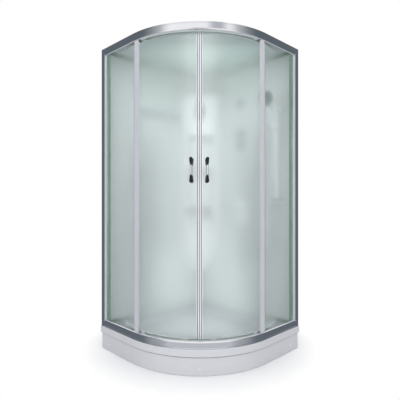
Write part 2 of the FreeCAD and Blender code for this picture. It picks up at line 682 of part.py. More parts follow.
def make_skirt():
    """The front panel under the lip, its screws and the clips behind it."""
    tall = "lip_bottom - skirt_bottom + skirt_overlap"
    corners = [("0", "0"), ("0", tall), ("-skirt_thick", tall), ("-skirt_thick", "0")]
    panel = swept("tray_skirt", "skirt_start", "skirt_radius", "skirt_bottom", corners)
    screws, holes, clips = [], [], []
    for radius, head, store in (("bolt_radius", "cap_radius", screws),
                                ("bolt_radius + screw_play", "bolt_radius + screw_play", holes)):
        long = "skirt_screw + cap_proud"
        left = [rod(radius, long, "cap_place - half", "skirt_screw - skirt_start", "cap_height", "-y"),
                rod(head, "cap_proud", "cap_place - half", "-skirt_start", "cap_height", "-y")]
        right = [rod(radius, long, "skirt_start - skirt_screw", "half - cap_place", "cap_height", "x"),
                 rod(head, "cap_proud", "skirt_start", "half - cap_place", "cap_height", "x")]
        middle = [rod(radius, long, "skirt_radius - skirt_screw", along="x"),
                  rod(head, "cap_proud", "skirt_radius", along="x")]
        store.append(joined(left))
        store.append(joined(right))
        store.append(aimed([joined(middle)], "meeting", "cap_height"))
    back = "skirt_start - skirt_thick"
    low, high = "cap_height - clip_drop", "tray_top - shell"
    for hand in ("left", "right"):
        clips.append(mirrored_block(hand, ("cap_place - half - clip_half", f"-({back})", low),
                                    ("cap_place - half + clip_half", f"clip_thick - ({back})", high)))
    front = "skirt_radius - skirt_thick - cap_play"
    clips.append(aimed([block((f"{front} - clip_thick", "-clip_half", "0"),
                              (front, "clip_half", f"{high} - ({low})"))], "meeting", low))
    drilled = joined(holes)
    node(cut(panel, drilled), "tray_skirt")
    group([cut(clip, drilled) for clip in clips], "skirt_clips")
    group(screws, "skirt_screws")


def make_frame():
    """The welded tube frame under the basin and its screw feet."""
    half_tube = "tube / 2"
    outer, inner = [], []
    left, right = "frame_inset_left - half", "half - frame_inset_right"
    back, middle, front = "half - frame_inset_back", "-frame_front", "frame_inset_left - half"
    runs = [((left, front), (left, back)), ((right, middle), (right, back)),
            ((left, middle), (right, middle)), ((left, "frame_cross"), (right, "frame_cross"))]
    for (x0, y0), (x1, y1) in runs:
        for store, wall in ((outer, "0"), (inner, "post_wall")):
            in_by = f"{half_tube} - {wall}"
            low = (f"({x0}) - ({in_by})", f"({y0}) - ({in_by})", f"frame_low + {wall}")
            high = (f"({x1}) + {in_by}", f"({y1}) + {in_by}", f"frame_high - {wall}")
            store.append(block(low, high))
    node(cut(joined(outer), joined(inner)), "tray_frame")
    feet = []
    for x, y in ((left, front), (left, back), (right, back), (right, middle)):
        feet.append(joined([rod("foot_radius", "foot_pad", x, y),
                            rod("stud_radius", "frame_low - foot_pad", x, y, "foot_pad"),
                            rod("stud_radius + nut_margin", "foot_nut", x, y, "frame_low - foot_nut")]))
    group(feet, "tray_feet")


def make_drain():
    """The drain's body under the tray, its round cover and the waste pipe."""
    drop = "tub_bottom - cup_depth"
    pipe_z = "tub_bottom - pipe_drop"
    inner = "drain_hole + cup_margin"
    cup = joined([rod(f"{inner} + cup_wall", "cup_depth", "drain_x", "drain_y", drop),
                  rod("waste_radius + cup_wall", "drain_hole + cup_run", "drain_x", "drain_y", pipe_z,
                      "y")])
    hollow = joined([rod(inner, "cup_depth", "drain_x", "drain_y", f"{drop} + cup_wall"),
                     rod("waste_radius", "drain_hole + cup_run + 1", "drain_x", "drain_y", pipe_z, "y")])
    start = "drain_y + drain_hole + cup_run"
    pipe = cut(rod("waste_radius", f"half - ({start})", "drain_x", start, pipe_z, "y"),
               rod("waste_radius - waste_wall", "side", "drain_x", start, pipe_z, "y"))
    flange = joined([rod("drain_cover", "flange_thick", "drain_x", "drain_y", "basin_floor"),
                     rod("drain_hole - 1", "shell + flange_thick", "drain_x", "drain_y", "tub_bottom")])
    bore = rod("drain_hole - 6", "3 * shell", "drain_x", "drain_y", "tub_bottom - 1")
    group([cut(cup, hollow), pipe, cut(flange, bore)], "drain_body")
    seat = "basin_floor + flange_thick"
    cover = joined([rod("drain_cover - 3", "cover_thick", "drain_x", "drain_y", seat),
                    rod("drain_hole - 8", "plug_depth", "drain_x", "drain_y", f"{seat} - plug_depth")])
    node(cover, "drain_cover")


# ---------------------------------------------------------------- rails, tracks and posts
def make_rail(label, base, sign):
    """A rail with a bevelled face, a shadow line and a web; sign is its growing direction."""
    low, high = "line_start + line_deep", "line_start + line_deep + line_wide"
    slope, edge = "rail_face - bevel_start", "rail_face - bevel_end"
    profile = [("-rail_depth", "0"), ("0", "0"), ("0", "line_start"), ("-line_deep", low),
               ("-line_deep", high), ("0", f"{high} + line_deep"), ("0", slope), ("-bevel_deep", edge),
               ("-rail_lip", "rail_face"), ("-rail_lip", "rail_face - lip_thick"),
               ("-rail_wall - bevel_deep * 0.7", "rail_face - bevel_end * 1.7"), ("-rail_wall", slope),
               ("-rail_wall", "rail_wall"), ("-rail_depth", "rail_wall")]
    corners = [(out, f"{sign}({up})") for out, up in profile]
    node(swept(label, "post_inner", "frame_radius", base, corners), label)


def make_track(label, base, sign):
    """The running track behind a rail: a web, a wall and a plate with the rib."""
    half_rib = "rib_width / 2"
    wall = "track_inner + track_wall"
    rib_in, rib_out = f"track_radius - {half_rib}", f"track_radius + {half_rib}"
    lip = f"{rib_out} + track_lip"
    profile = [("track_inner", "0"), ("track_outer", "0"), ("track_outer", "rail_wall"),
               (wall, "rail_wall"), (wall, "plate_edge"), (rib_in, "plate_edge"), (rib_in, "rib_edge"),
               (rib_out, "rib_edge"), (rib_out, "plate_edge"),
               (lip, "plate_edge"), (lip, "plate_edge + track_wall"),
               ("track_inner", "plate_edge + track_wall")]
    corners = [(radius, f"{base} {sign} ({up})") for radius, up in profile]
    node(turned(label, corners, "2 * track_span", "meeting - track_span"), label)


def make_stops():
    """Rubber stops on the upper track, past the wheels at both ends of each door's travel."""
    inner = "track_radius + rib_width / 2 + stop_gap"
    low = "frame_top - plate_edge"
    stops = []
    for hand in ("left", "right"):
        for first in ("wheel_near - stop_near", "wheel_far + door_travel + stop_far"):
            start = door_angle(hand, first, f"{first} + stop_span")
            stops.append(sector(f"{inner} + stop_thick", inner, low, f"{low} + stop_tall", "stop_span",
                                start))
    group(stops, "door_stops")


def make_post(hand):
    """A square wall post with a slot for the fixed glass and one for the back wall."""
    low, high = "-frame_edge", "-post_inner"
    tube = mirrored_block(hand, (low, low, "tray_top"), (high, high, "frame_top"))
    bore = mirrored_block(hand, (f"{low} + post_wall", f"{low} + post_wall", "tray_top - 1"),
                          (f"{high} - post_wall", f"{high} - post_wall", "frame_top + 1"))
    glass_slot = mirrored_block(
        hand, (f"{high} - slot_deep", "-fixed_outer - gasket", "tray_top + rail_wall"),
        (f"{high} + 1", "-fixed_outer + glass + gasket", "frame_top - rail_wall"))
    wall_slot = mirrored_block(hand, ("-wall_back", f"{high} - slot_deep", "tray_top - 1"),
                               ("-wall_face", f"{high} + 1", "frame_top + 1"))
    node(cut(tube, joined([bore, glass_slot, wall_slot])), f"{hand}_wall_post")


def make_fixed_panel(hand):
    """The flat fixed glass and the strip on its free edge; returns its gasket's pieces."""
    start, end = "-post_inner - glass_in_post", "arc_x + fixed_glass_run"
    outer, inner = "-fixed_outer", "-fixed_outer + glass"
    pane = mirrored_block(hand, (start, outer, "fixed_low"), (end, inner, "fixed_high"))
    node(pane, f"{hand}_fixed_glass")
    face, back = f"{outer} - gasket", f"{inner} + gasket"
    low_end, high_end = "rail_low_top + strip_gap", "rail_high_bottom - strip_gap"
    seal = cut(
        mirrored_block(hand, (f"{start} - gasket", face, low_end),
                       ("-post_inner + glass_in_post - gasket_show", back, high_end)),
        mirrored_block(hand, (start, outer, "tray_top"), (end, inner, "frame_top")))
    strips = [seal]
    for low, high in (("fixed_low - gasket", "fixed_low"), ("fixed_high", "fixed_high + gasket")):
        strips.append(mirrored_block(hand, (f"{start} + gasket_inset", outer, low), (end, inner, high)))
    middle = "-fixed_outer + glass / 2"
    strip = cut(
        mirrored_block(hand, ("arc_x + edge_strip_start", f"{middle} - edge_strip_depth / 2", low_end),
                       ("arc_x + edge_strip_end", f"{middle} + edge_strip_depth / 2", high_end)),
        mirrored_block(hand, ("arc_x + edge_strip_start - 1", outer, "tray_top"),
                       (end, inner, "frame_top")))
    node(strip, f"{hand}_edge_strip")
    return strips


# ---------------------------------------------------------------- walls, roof and column
def make_walls():
    """The two white back walls; the right one has holes for the supply unions."""
    end = "post_inner + wall_in_post"
    left = block(("-wall_back", f"-({end})", "tray_top"), ("-wall_face", "wall_back", "frame_top"))
    node(left, "left_back_wall")
    right = block(("-wall_face", "wall_face", "tray_top"), (end, "wall_back", "frame_top"))
    holes = [rod("supply_radius", "wall_thick + 2", "mixer_x", "wall_face - 1",
                 f"mixer_height {sign} supply_spacing / 2", "y") for sign in "+-"]
    node(cut(right, joined(holes)), "right_back_wall")


def make_roof():
    """The roof panel, which lies on the rails, the tracks and the walls."""
    body = new_body("roof_panel")
    outline = new_sketch(body, "roof_outline", "XY_Plane", "frame_top")
    raised(body, "roof", quadrant(outline, "roof_wall", "roof_edge", "arc_x"), "roof_thick")
    rounded(body, "roof_rounding", lambda edge: level(edge, size("frame_top") + size("roof_thick")))
    node(body, "roof_panel")


def column_plan(sketch, scale):
    """The column's plan: the corner's two walls and the bowed front."""
    reach, bow = size("column_reach"), size("column_bow")
    side = Vector(reach * scale, reach * scale, 0)
    other = Vector(-reach * scale, reach * scale, 0)
    front = Vector(0, (reach + bow) * scale, 0)
    sketch.addGeometry(Part.LineSegment(Vector(0, 0, 0), side), False)
    sketch.addGeometry(Part.Arc(side, front, other), False)
    sketch.addGeometry(Part.LineSegment(other, Vector(0, 0, 0)), False)
    sketch.addConstraint(Sketcher.Constraint("Coincident", 0, 2, 1, 1))
    sketch.addConstraint(Sketcher.Constraint("Coincident", 1, 2, 2, 1))
    sketch.addConstraint(Sketcher.Constraint("Coincident", 2, 2, 0, 1))
    sketch.addConstraint(Sketcher.Constraint("Coincident", 0, 1, -1, 1))
    for end, sign in (((0, 2), ""), ((1, 2), "-")):
        guess = side.x if sign == "" else other.x
        tie(sketch, "DistanceX", -1, 1, *end, text=f"{sign}column_reach * {scale}", guess=guess)
        tie(sketch, "DistanceY", -1, 1, *end, text=f"column_reach * {scale}", guess=side.y)
    radius = "((column_reach * column_reach) + (column_bow * column_bow)) / (2 * column_bow)"
    guess = (reach ** 2 + bow ** 2) / (2 * bow) * scale
    tie(sketch, "Radius", 1, text=f"{radius} * {scale}", guess=guess)
    return sketch


def column_form(label, share, top):
    """The column's outer form, or with a share under 1 the hollow behind its front skin."""
    body = new_body(label)
    shaft = new_sketch(body, label + "_plan", "XY_Plane", "column_waist")
    raised(body, label + "_shaft", column_plan(shaft, share), f"{top} - column_waist")
    sections = []
    for name, height, scale in (("waist", "column_waist", 1), ("knee", "column_knee", size("knee_share")),
                                ("foot", "column_foot", size("foot_share"))):
        plan = new_sketch(body, f"{label}_{name}", "XY_Plane", height)
        sections.append(column_plan(plan, scale * share))
    loft = body.newObject("PartDesign::AdditiveLoft", label + "_narrowing")
    loft.Profile = sections[0]
    loft.Sections = sections[1:]
    return body


# The rounded top of the column from its back to its front, as shares of column_crown.
CROWN_LINE = [(1.25, -0.03), (0.75, 0.10), (0.30, 0.36), (0.07, 0.72)]


def make_column():
    """The moulded column in the corner: a skin with three niches and a narrowing foot."""
    body = column_form("column", 1, "column_top")
    crown = new_sketch(body, "crown_side", "YZ_Plane")
    top, rise = "column_top", "column_crown"
    outside = [("column_front + 2", f"{top} - {rise}"), ("column_front + 2", f"{top} + 2")]
    polygon(crown, outside + [(f"column_front - {back} * {rise}", f"{top} - {down} * {rise}")
                              for back, down in CROWN_LINE])
    shave = body.newObject("PartDesign::Pocket", "crown")
    shave.Profile = crown
    shave.Midplane = True
    bind(shave, Length="2 * column_side")
    boxes = []
    for name in ("niche_low", "niche_mid", "niche_high"):
        face = new_sketch(body, name + "_face", "XZ_Plane", "-niche_back")
        wide = "niche_wide / 2"
        polygon(face, [(f"-{wide}", name), (wide, name), (wide, name + "_top"),
                       (f"-{wide}", name + "_top")])
        pocket = body.newObject("PartDesign::Pocket", name)
        pocket.Profile = face
        bind(pocket, Length="column_front")
        boxes.append(block((f"-{wide} - shell", "niche_back - shell", f"{name} - shell"),
                           (f"{wide} + shell", "column_front", f"{name}_top + shell")))
    inside = column_form("column_hollow", size("skin_share"), "column_top - column_crown - shell")
    column = cut(body, cut(inside, joined(boxes)))
    place(column, "-wall_face", "wall_face", turn="meeting - 90")
    node(column, "corner_column")
    glass = doc.addObject("Part::Ellipse", "mirror_edge")
    bind(glass, MajorRadius="mirror_tall / 2", MinorRadius="mirror_wide / 2")
    plate = doc.addObject("Part::Extrusion", "mirror_plate")
    plate.Base = glass
    plate.DirMode = "Custom"
    plate.Dir = Vector(0, 0, 1)
    plate.Solid = True
    bind(plate, LengthFwd="mirror_thick")
    plate.Placement.Rotation = FreeCAD.Rotation(Vector(0, 0, 1), -45).multiply(
        FreeCAD.Rotation(Vector(0, 1, 0), 90))
    front = "(column_front + mirror_gap) / sqrt(2)"
    place(plate, f"-wall_face + {front}", f"wall_face - {front}", "mirror_height")
    node(plate, "column_mirror")


def make_towel_bar():
    """The chrome towel bar on the left wall and its two brackets."""
    axis = "-wall_face + towel_reach"
    far = "half - towel_near - towel_length"
    node(rod("towel_radius", "towel_length", axis, far, "towel_height", "y"), "towel_bar")
    brackets = []
    for y in (f"{far} + bracket_inset", "half - towel_near - bracket_inset"):
        arm = joined([rod("towel_arm", "towel_reach", "-wall_face", y, "towel_height", "x"),
                      rod("rose_radius", "rose_thick", "-wall_face", y, "towel_height", "x"),
                      rod("towel_radius + clasp", "clasp_towel", axis, f"{y} - clasp_towel / 2",
                          "towel_height", "y")])
        bore = rod("towel_radius", "towel_length + 20", axis, f"{far} - 10", "towel_height", "y")
        brackets.append(cut(arm, bore))
    group(brackets, "towel_brackets")


# ---------------------------------------------------------------- shower fittings
def make_riser():
    """The riser bar on the right wall and its two brackets."""
    long = "riser_high - riser_low"
    node(rod("riser_radius", long, "riser_x", "riser_y", "riser_low"), "riser_bar")
    brackets = []
    for z in ("riser_low + riser_inset", "riser_high - riser_inset"):
        arm = joined([rod("riser_arm", "riser_reach", "riser_x", "wall_face", z, "-y"),
                      rod("rose_radius", "rose_thick", "riser_x", "wall_face", z, "-y"),
                      rod("riser_radius + clasp", "clasp_riser", "riser_x", "riser_y",
                          f"{z} - clasp_riser / 2")])
        brackets.append(cut(arm, rod("riser_radius", "2 * clasp_riser", "riser_x", "riser_y",
                                     f"{z} - clasp_riser")))
    group(brackets, "riser_brackets")


def leaned(thing):
    """Moves a piece drawn about the handset's axis into the holder, leaning off the wall."""
    thing.Placement.Rotation = FreeCAD.Rotation(Vector(1, 0, 0), 10)
    bind(thing, **{".Placement.Rotation.Angle": "handset_tilt"})
    return place(thing, "riser_x", "riser_y - holder_reach", "slider_height")


def make_handset():
    """The slider on the bar with its holder, the hand shower and its spray face."""
    low = "slider_height - slider_tall / 2"
    sleeve = rod("slider_radius", "slider_tall", "riser_x", "riser_y", low)
    arm = block(("riser_x - holder_half", "riser_y - holder_reach", "slider_height - holder_tall / 2"),
                ("riser_x + holder_half", "riser_y", "slider_height + holder_tall / 2"))
    ring = leaned(joined_one(rod("handset_radius + holder_wall", "holder_long", z="-holder_long / 2")))
    bore = rod("riser_radius + slider_play", "slider_tall + 4", "riser_x", "riser_y", f"{low} - 2")
    cup = leaned(joined_one(rod("handset_radius + holder_play", "handset_length", z="-handset_length / 2")))
    node(cut(joined([sleeve, arm, ring]), joined([bore, cup])), "shower_slider")
    head_z = "handset_length - handset_below + head_radius - 2"
    grip = [taper("handset_radius - 1.5", "handset_radius", "handset_length", z="-handset_below"),
            taper("head_radius - head_slope", "head_radius", "head_thick - head_rim",
                  y="head_thick - head_rim - 2", z=head_z, along="-y"),
            rod("head_radius", "head_rim", y="-2", z=head_z, along="-y"),
            block(("-9", "-4", "handset_length - handset_below - 4"), ("9", "9", head_z))]
    plate = rod("head_radius - spray_margin", "spray_thick", y="-head_rim - 2", z=head_z, along="-y")
    nut = rod("hose_radius + nut_wall", "nut_tall", z="-handset_below - nut_tall")
    group([leaned(joined(grip)), leaned(joined_one(plate)), leaned(joined_one(nut))], "hand_shower")


def joined_one(part):
    """A piece drawn in place, so that it can be moved again as a whole."""
    whole = doc.addObject("Part::Compound", "whole")
    whole.Links = [part]
    return whole


def make_mixer():
    """The mixer on the right wall: its plate with the two unions, the lever and the knob."""
    plate_y = "wall_face - mixer_plate"
    low, high = "mixer_height - mixer_tall / 2", "mixer_height + mixer_tall / 2"
    plate = block(("mixer_x - mixer_wide / 2", plate_y, low),
                  ("mixer_x + mixer_wide / 2", "wall_face", high))
    edges = doc.addObject("Part::Fillet", "mixer_rounding")
    doc.recompute()
    edges.Base = plate
    upright = [index for index, edge in enumerate(plate.Shape.Edges, 1)
               if edge.BoundBox.YLength > 1]
    edges.Edges = [(index, size("mixer_rounding"), size("mixer_rounding")) for index in upright]
    unions = []
    for z in ("mixer_height + supply_spacing / 2", "mixer_height - supply_spacing / 2"):
        unions.append(rod("supply_radius - 1.5", "wall_thick + 1", "mixer_x", "wall_face", z, "y"))
        unions.append(rod("supply_radius", "supply_reach", "mixer_x", "wall_back", z, "y"))
    barrel_z = "mixer_height + barrel_up"
    barrel = rod("barrel_radius", "barrel_long", "mixer_x", plate_y, barrel_z, "-y")
    neck = rod("outlet_radius", "outlet_out + 4", "mixer_x", plate_y, f"{low} + outlet_up", "-y")
    spout = rod("outlet_radius", "outlet_up + 6", "mixer_x", f"{plate_y} - outlet_out", f"{low} - 2")
    front = f"{plate_y} - barrel_long - cap_play"
    lever = joined([taper("lever_radius", "lever_radius - lever_narrow", "lever_cap", "mixer_x", front,
                          barrel_z, "-y"),
                    block(("mixer_x - lever_half", f"{front} - lever_cap + 3", barrel_z),
                          ("mixer_x + lever_half", f"{front} - lever_cap / 3",
                           "mixer_height + lever_high"))])
    node(lever, "mixer_lever")
    knob = taper("knob_radius", "knob_radius - 2", "knob_long", "mixer_x", f"{plate_y} - cap_play",
                 "mixer_height - knob_down", "-y")
    node(knob, "diverter_knob")
    nut = rod("hose_radius + nut_wall + 1", "nut_tall - 2", "mixer_x", f"{plate_y} - outlet_out",
              f"{low} - nut_tall")
    group([joined([edges, barrel, neck, spout] + unions), nut], "mixer_body")


def make_jets():
    """The three body jets on the right wall."""
    rings, faces = [], []
    floor = "wall_face - jet_thick + jet_rim"
    for z in ("jet_low", "jet_mid", "jet_high"):
        ring = cut(taper("jet_radius + jet_flare", "jet_radius", "jet_thick", "mixer_x", "wall_face", z,
                         "-y"),
                   rod("jet_radius - jet_rim", "jet_rim + 1", "mixer_x", floor, z, "-y"))
        rings.append(ring)
        faces.append(rod("jet_radius - jet_rim - 0.5", "spray_thick", "mixer_x", floor, z, "-y"))
    group(rings + faces, "body_jets")


# The hose's route from the nut under the handset to the nut under the mixer, in millimetres.
HOSE_ROUTE = [
    (316, 345.19, 1376.56), (316, 359.0, 1328.5), (310, 358, 1255), (300, 354, 1150), (290, 352, 1040),
    (280, 353, 935), (269, 354, 850), (255, 356, 765), (241, 358, 690), (228, 360, 620),
    (215, 362, 560), (197, 364, 503), (164, 366, 462), (119, 368, 444), (72, 372, 456),
    (36, 376, 489), (16, 380, 538), (4, 385, 610), (-5, 390, 680), (-8, 392, 711), (-8, 392, 753),
]


def hose_points():
    """The route, with both its end runs kept straight in their nuts when the sizes change."""
    lean, below = math.radians(size("handset_tilt")), size("handset_below") + size("nut_tall")
    start = Vector(size("riser_x"), size("riser_y") - size("holder_reach") + below * math.sin(lean),
                   size("slider_height") - below * math.cos(lean))
    end = Vector(size("mixer_x"), size("wall_face") - size("mixer_plate") - size("outlet_out"),
                 size("mixer_height") - size("mixer_tall") / 2 - size("nut_tall"))
    route = [Vector(*point) for point in HOSE_ROUTE]
    first, last, count = start - route[0], end - route[-1], len(route) - 1
    away = (route[1] - route[0]).normalize() * size("hose_play")
    shares = [min(1, max(0, (index - 1) / (count - 2))) for index in range(count + 1)]
    return [point + (first + away) * (1 - share) + last * share for point, share in zip(route, shares)]


def make_hose():
    """The shower hose: straight runs joined by tangent arcs through the route's points."""
    points = hose_points()
    edges = []
    radii = []
    last = points[0]
    for before, corner, after in zip(points, points[1:], points[2:]):
        back, ahead = (before - corner), (after - corner)
        shorter = min(back.Length, ahead.Length)
        turn = math.pi - back.getAngle(ahead)
        reach = 0.45 * shorter
        radii.append(reach / math.tan(turn / 2))
        start = corner + back.normalize() * reach
        end = corner + ahead.normalize() * reach
        inward = (back + ahead).normalize()
        sag = radii[-1] / math.cos(turn / 2) - radii[-1]
        edges.append(Part.LineSegment(last, start).toShape())
        edges.append(Part.Arc(start, corner + inward * sag, end).toShape())
        last = end
    edges.append(Part.LineSegment(last, points[-1]).toShape())
    path = Part.Wire(edges)
    away = points[1] - points[0]
    ring = Part.Wire(Part.Circle(points[0], away, size("hose_radius")).toShape())
    tube = path.makePipeShell([ring], True, False)
    hose = doc.addObject("Part::Feature", "shower_hose")
    hose.Shape = tube
    expected = math.pi * size("hose_radius") ** 2 * path.Length
    print("hose length", round(path.Length), "volume share", round(tube.Volume / expected, 4))
    print("smallest hose radius", round(min(radii), 1))
    node(hose, "shower_hose")


# ---------------------------------------------------------------- the two sliding doors
def make_door(hand):
    """One curved sliding door: glass, seals, handles, carriages, axles and wheels."""
    wheels = (("near", "wheel_near"), ("far", "wheel_far"))
    levels = (("top", "wheel_high"), ("bottom", "wheel_low"))
    glass_start = door_angle(hand, "door_gap", "door_end")
    pane = turned(f"{hand}_door_glass",
                  [("door_inner", "door_bottom"), ("door_outer", "door_bottom"),
                   ("door_outer", "door_top"), ("door_inner", "door_top")],
                  "door_end - door_gap", glass_start)
    handle = door_angle(hand, "handle_angle")
    holes = [aimed([rod("axle_hole", "glass * 3", "door_radius - glass * 1.5", along="x")],
                   door_angle(hand, place_of), z) for _, place_of in wheels for _, z in levels]
    for sign in "+-":
        bolt = rod("bolt_radius + 0.5", "glass * 3", "door_radius - glass * 1.5", along="x")
        holes.append(aimed([bolt], handle, f"handle_height {sign} handle_spacing / 2"))
    node(cut(pane, joined(holes)), f"{hand}_door_glass")

    lip_out, lip_in = "door_outer + seal_lip", "door_inner - seal_lip"
    seals = []
    for first, last in (("seal_gap", "door_gap + seal_reach"),
                        ("door_end - seal_reach", "door_end + seal_past")):
        whole = sector(lip_out, lip_in, "rail_low_top + seal_margin", "rail_high_bottom - seal_margin",
                       f"{last} - ({first})", door_angle(hand, first, last))
        groove = sector("door_outer + seal_play", "door_inner - seal_play", "door_bottom", "door_top",
                        "door_end - door_gap", glass_start)
        seals.append(cut(whole, groove))
    sweep = sector("door_radius + sweep_half", "door_radius - sweep_half",
                   "tray_top + rail_wall + sweep_play", "door_bottom", "door_end - door_gap", glass_start)
    node(seals[0], f"{hand}_meeting_seal")
    group([seals[1], sweep], f"{hand}_door_seals")

    bolts = []
    for sign in "+-":
        z = f"{sign} handle_spacing / 2"
        bolts.append(joined([rod("bolt_radius", "handle_out - handle_in + handle_end", "handle_in",
                                 z=z, along="x"),
                             rod("bolt_head", "screw_head", "handle_out + handle_end - 1", z=z,
                                 along="x")]))
    group([aimed([bolt], handle, "handle_height") for bolt in bolts], f"{hand}_handle_screws")
    for label, axis, foot in (("outer", "handle_out", "door_outer + cap_play"),
                              ("inner", "handle_in", "handle_in")):
        end = "(handle_length / 2 - handle_end)"
        narrow = f"{end} - handle_flare"
        pieces = [ball("handle_end", axis, z=f"-{end}"), ball("handle_end", axis, z=end),
                  taper("handle_end", "handle_middle", "handle_flare", axis, z=f"-{end}"),
                  rod("handle_middle", f"2 * ({narrow})", axis, z=f"-({narrow})"),
                  taper("handle_middle", "handle_end", "handle_flare", axis, z=narrow)]
        for sign in "+-":
            z = f"{sign} handle_spacing / 2"
            pieces.append(rod("handle_post", "handle_reach - cap_play", foot, z=z, along="x"))
        bores = [rod("bolt_radius + 0.1", "4 * handle_reach", "handle_in - handle_end - 5",
                     z=f"{sign} handle_spacing / 2", along="x") for sign in "+-"]
        heads = [rod("bolt_head + 0.1", "handle_end", "handle_out + handle_end - 1",
                     z=f"{sign} handle_spacing / 2", along="x") for sign in "+-"]
        bow = cut(joined(pieces), joined(bores + heads))
        node(radial(bow, handle, "handle_height"), f"{hand}_{label}_handle")

    axles = []
    carriages = []
    for level_name, z in levels:
        for near_far, place_of in wheels:
            angle = door_angle(hand, place_of)
            if level_name == "top":
                low = "rail_high_bottom - carriage_show_high"
            else:
                low = "rail_low_top + carriage_show_low - carriage_tall"
            side = "carriage_wide / 2"
            span = (f"{low} - ({z})", f"{low} + carriage_tall - ({z})")
            inner = block(("wheel_out + block_gap", f"-{side}", span[0]),
                          ("door_inner - cap_play", side, span[1]))
            cap = block(("door_outer + cap_play", f"-{side}", span[0]),
                        ("door_outer + cap_play + cap_thick", side, span[1]))
            boss = rod("axle_hole - 0.2", "glass + 2 * cap_play + 1", "door_inner - cap_play - 0.5",
                       along="x")
            bore = rod("axle_radius", "2 * wheel_flange + 15", "wheel_in", along="x")
            carriages.append(radial(cut(joined([inner, cap, boss]), bore), angle, z))
            axle = joined([rod("axle_head", "head_thin", "wheel_in - head_play - head_thin", along="x"),
                           rod("axle_radius", "door_radius - wheel_in + 2", "wheel_in - 0.5", along="x"),
                           rod("axle_head", "block_gap - head_play", "wheel_out + head_play", along="x")])
            axles.append(radial(axle, angle, z))
            wheel = spun(f"{hand}_{level_name}_{near_far}_wheel", wheel_profile())
            node(radial(wheel, angle, z), f"{hand}_{level_name}_{near_far}_wheel")
    group(carriages, f"{hand}_carriages")
    group(axles, f"{hand}_wheel_axles")


def wheel_profile():
    """A grooved wheel's half section: (place along the axle, radius) corners."""
    bore = "axle_radius + axle_play"
    near, far = "track_radius - rib_width / 2", "track_radius + rib_width / 2"
    return [("wheel_in", bore), ("wheel_out", bore), ("wheel_out", "wheel_flange"),
            (f"{far} + groove_play + groove_slope", "wheel_flange"),
            (f"{far} + groove_play", "wheel_radius"),
            (f"{near} - groove_play", "wheel_radius"),
            (f"{near} - groove_play - groove_slope", "wheel_flange"), ("wheel_in", "wheel_flange")]


# ---------------------------------------------------------------- the whole enclosure
make_tray()
make_skirt()
make_frame()
make_drain()
make_rail("bottom_rail", "tray_top", "")
make_rail("top_rail", "frame_top", "-")
make_track("bottom_track", "tray_top", "+")
make_track("top_track", "frame_top", "-")
make_stops()
gaskets = []
for hand in ("left", "right"):
    make_post(hand)
    gaskets.extend(make_fixed_panel(hand))
group(gaskets, "glass_gaskets")
make_walls()
make_roof()
make_column()
make_towel_bar()
make_riser()
make_handset()
make_mixer()
make_jets()
make_hose()
for hand in ("left", "right"):
    make_door(hand)
doc.recompute()

faults = [thing.Name for thing in doc.Objects
          if "Invalid" in thing.State or "Error" in thing.State]
for piece in nodes:
    if piece.Shape.isNull() or not piece.Shape.isValid() or not piece.Shape.Solids:
        faults.append(piece.Label)
if faults:
    raise RuntimeError("not sound: " + ", ".join(faults))

os.makedirs("parts", exist_ok=True)
for piece in nodes:
    piece.Shape.exportStep(f"parts/{piece.Label}.step")
    print(piece.Label, len(piece.Shape.Solids), "solids", round(piece.Shape.Volume / 1000), "cm3")
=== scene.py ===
# %% [markdown]
# # A quadrant shower enclosure
# The real object is a corner cabin: a white tray, a chrome frame, frosted green glass that is
# curved round the front, and white walls with the fittings behind the glass. Every hard part
# was drawn in CAD and arrives here at its real size, in metres. The lesson is about what makes
# such a part look real: glass that scatters, metal that mirrors a dark and a bright room, and
# plastics that are never one flat colour.

# %% Load the measured parts
import bpy
import math
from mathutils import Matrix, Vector


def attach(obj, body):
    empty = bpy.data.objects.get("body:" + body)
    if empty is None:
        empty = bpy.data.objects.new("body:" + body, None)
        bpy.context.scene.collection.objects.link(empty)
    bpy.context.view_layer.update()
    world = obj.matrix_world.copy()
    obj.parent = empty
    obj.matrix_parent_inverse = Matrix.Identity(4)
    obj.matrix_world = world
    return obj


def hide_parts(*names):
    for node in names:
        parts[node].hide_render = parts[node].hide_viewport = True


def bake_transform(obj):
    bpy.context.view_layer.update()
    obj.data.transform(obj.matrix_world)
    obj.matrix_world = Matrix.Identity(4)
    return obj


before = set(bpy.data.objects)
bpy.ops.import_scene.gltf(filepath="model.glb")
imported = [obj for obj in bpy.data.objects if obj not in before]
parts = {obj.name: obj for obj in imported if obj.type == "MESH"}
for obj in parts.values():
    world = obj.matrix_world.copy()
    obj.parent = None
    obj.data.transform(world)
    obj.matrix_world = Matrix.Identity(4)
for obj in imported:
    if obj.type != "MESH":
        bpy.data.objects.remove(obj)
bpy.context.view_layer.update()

# %% [markdown]
# ## The camera
# The photograph was taken level, from in front of the rounded side, about as high as the
# middle of the cabin. The place and the focal length were worked out from the outline of the
# tray and the rails, so the camera is set once and never moved by eye.

# %% Set the camera
photo_lens = bpy.data.cameras.new("photo_camera")
photo_lens.lens = 34.99
photo_lens.sensor_width = 36
photo_camera = bpy.data.objects.new("photo_camera", photo_lens)
photo_camera.location = (1.7782, -1.7509, 0.9505)
looking = Vector((-0.7122, 0.7020, 0))
photo_camera.rotation_euler = looking.to_track_quat("-Z", "Y").to_euler()
bpy.context.scene.collection.objects.link(photo_camera)
bpy.context.scene.camera = photo_camera
print("camera is", round(photo_camera.location.length, 2), "m from the middle of the tray")

# %% [markdown]
# ## The shower hose
# A shower hose is a flexible tube wound from a narrow metal strip. It leaves the nut under the
# hand shower, hangs down under its own weight, turns in one wide loop above the tray and rises
# to the mixer. Its line is a smooth curve that is drawn towards a row of points. The skin is
# built by hand round that line, because the wound strip needs a small ridge every few
# millimetres, which a plain round tube would not have.

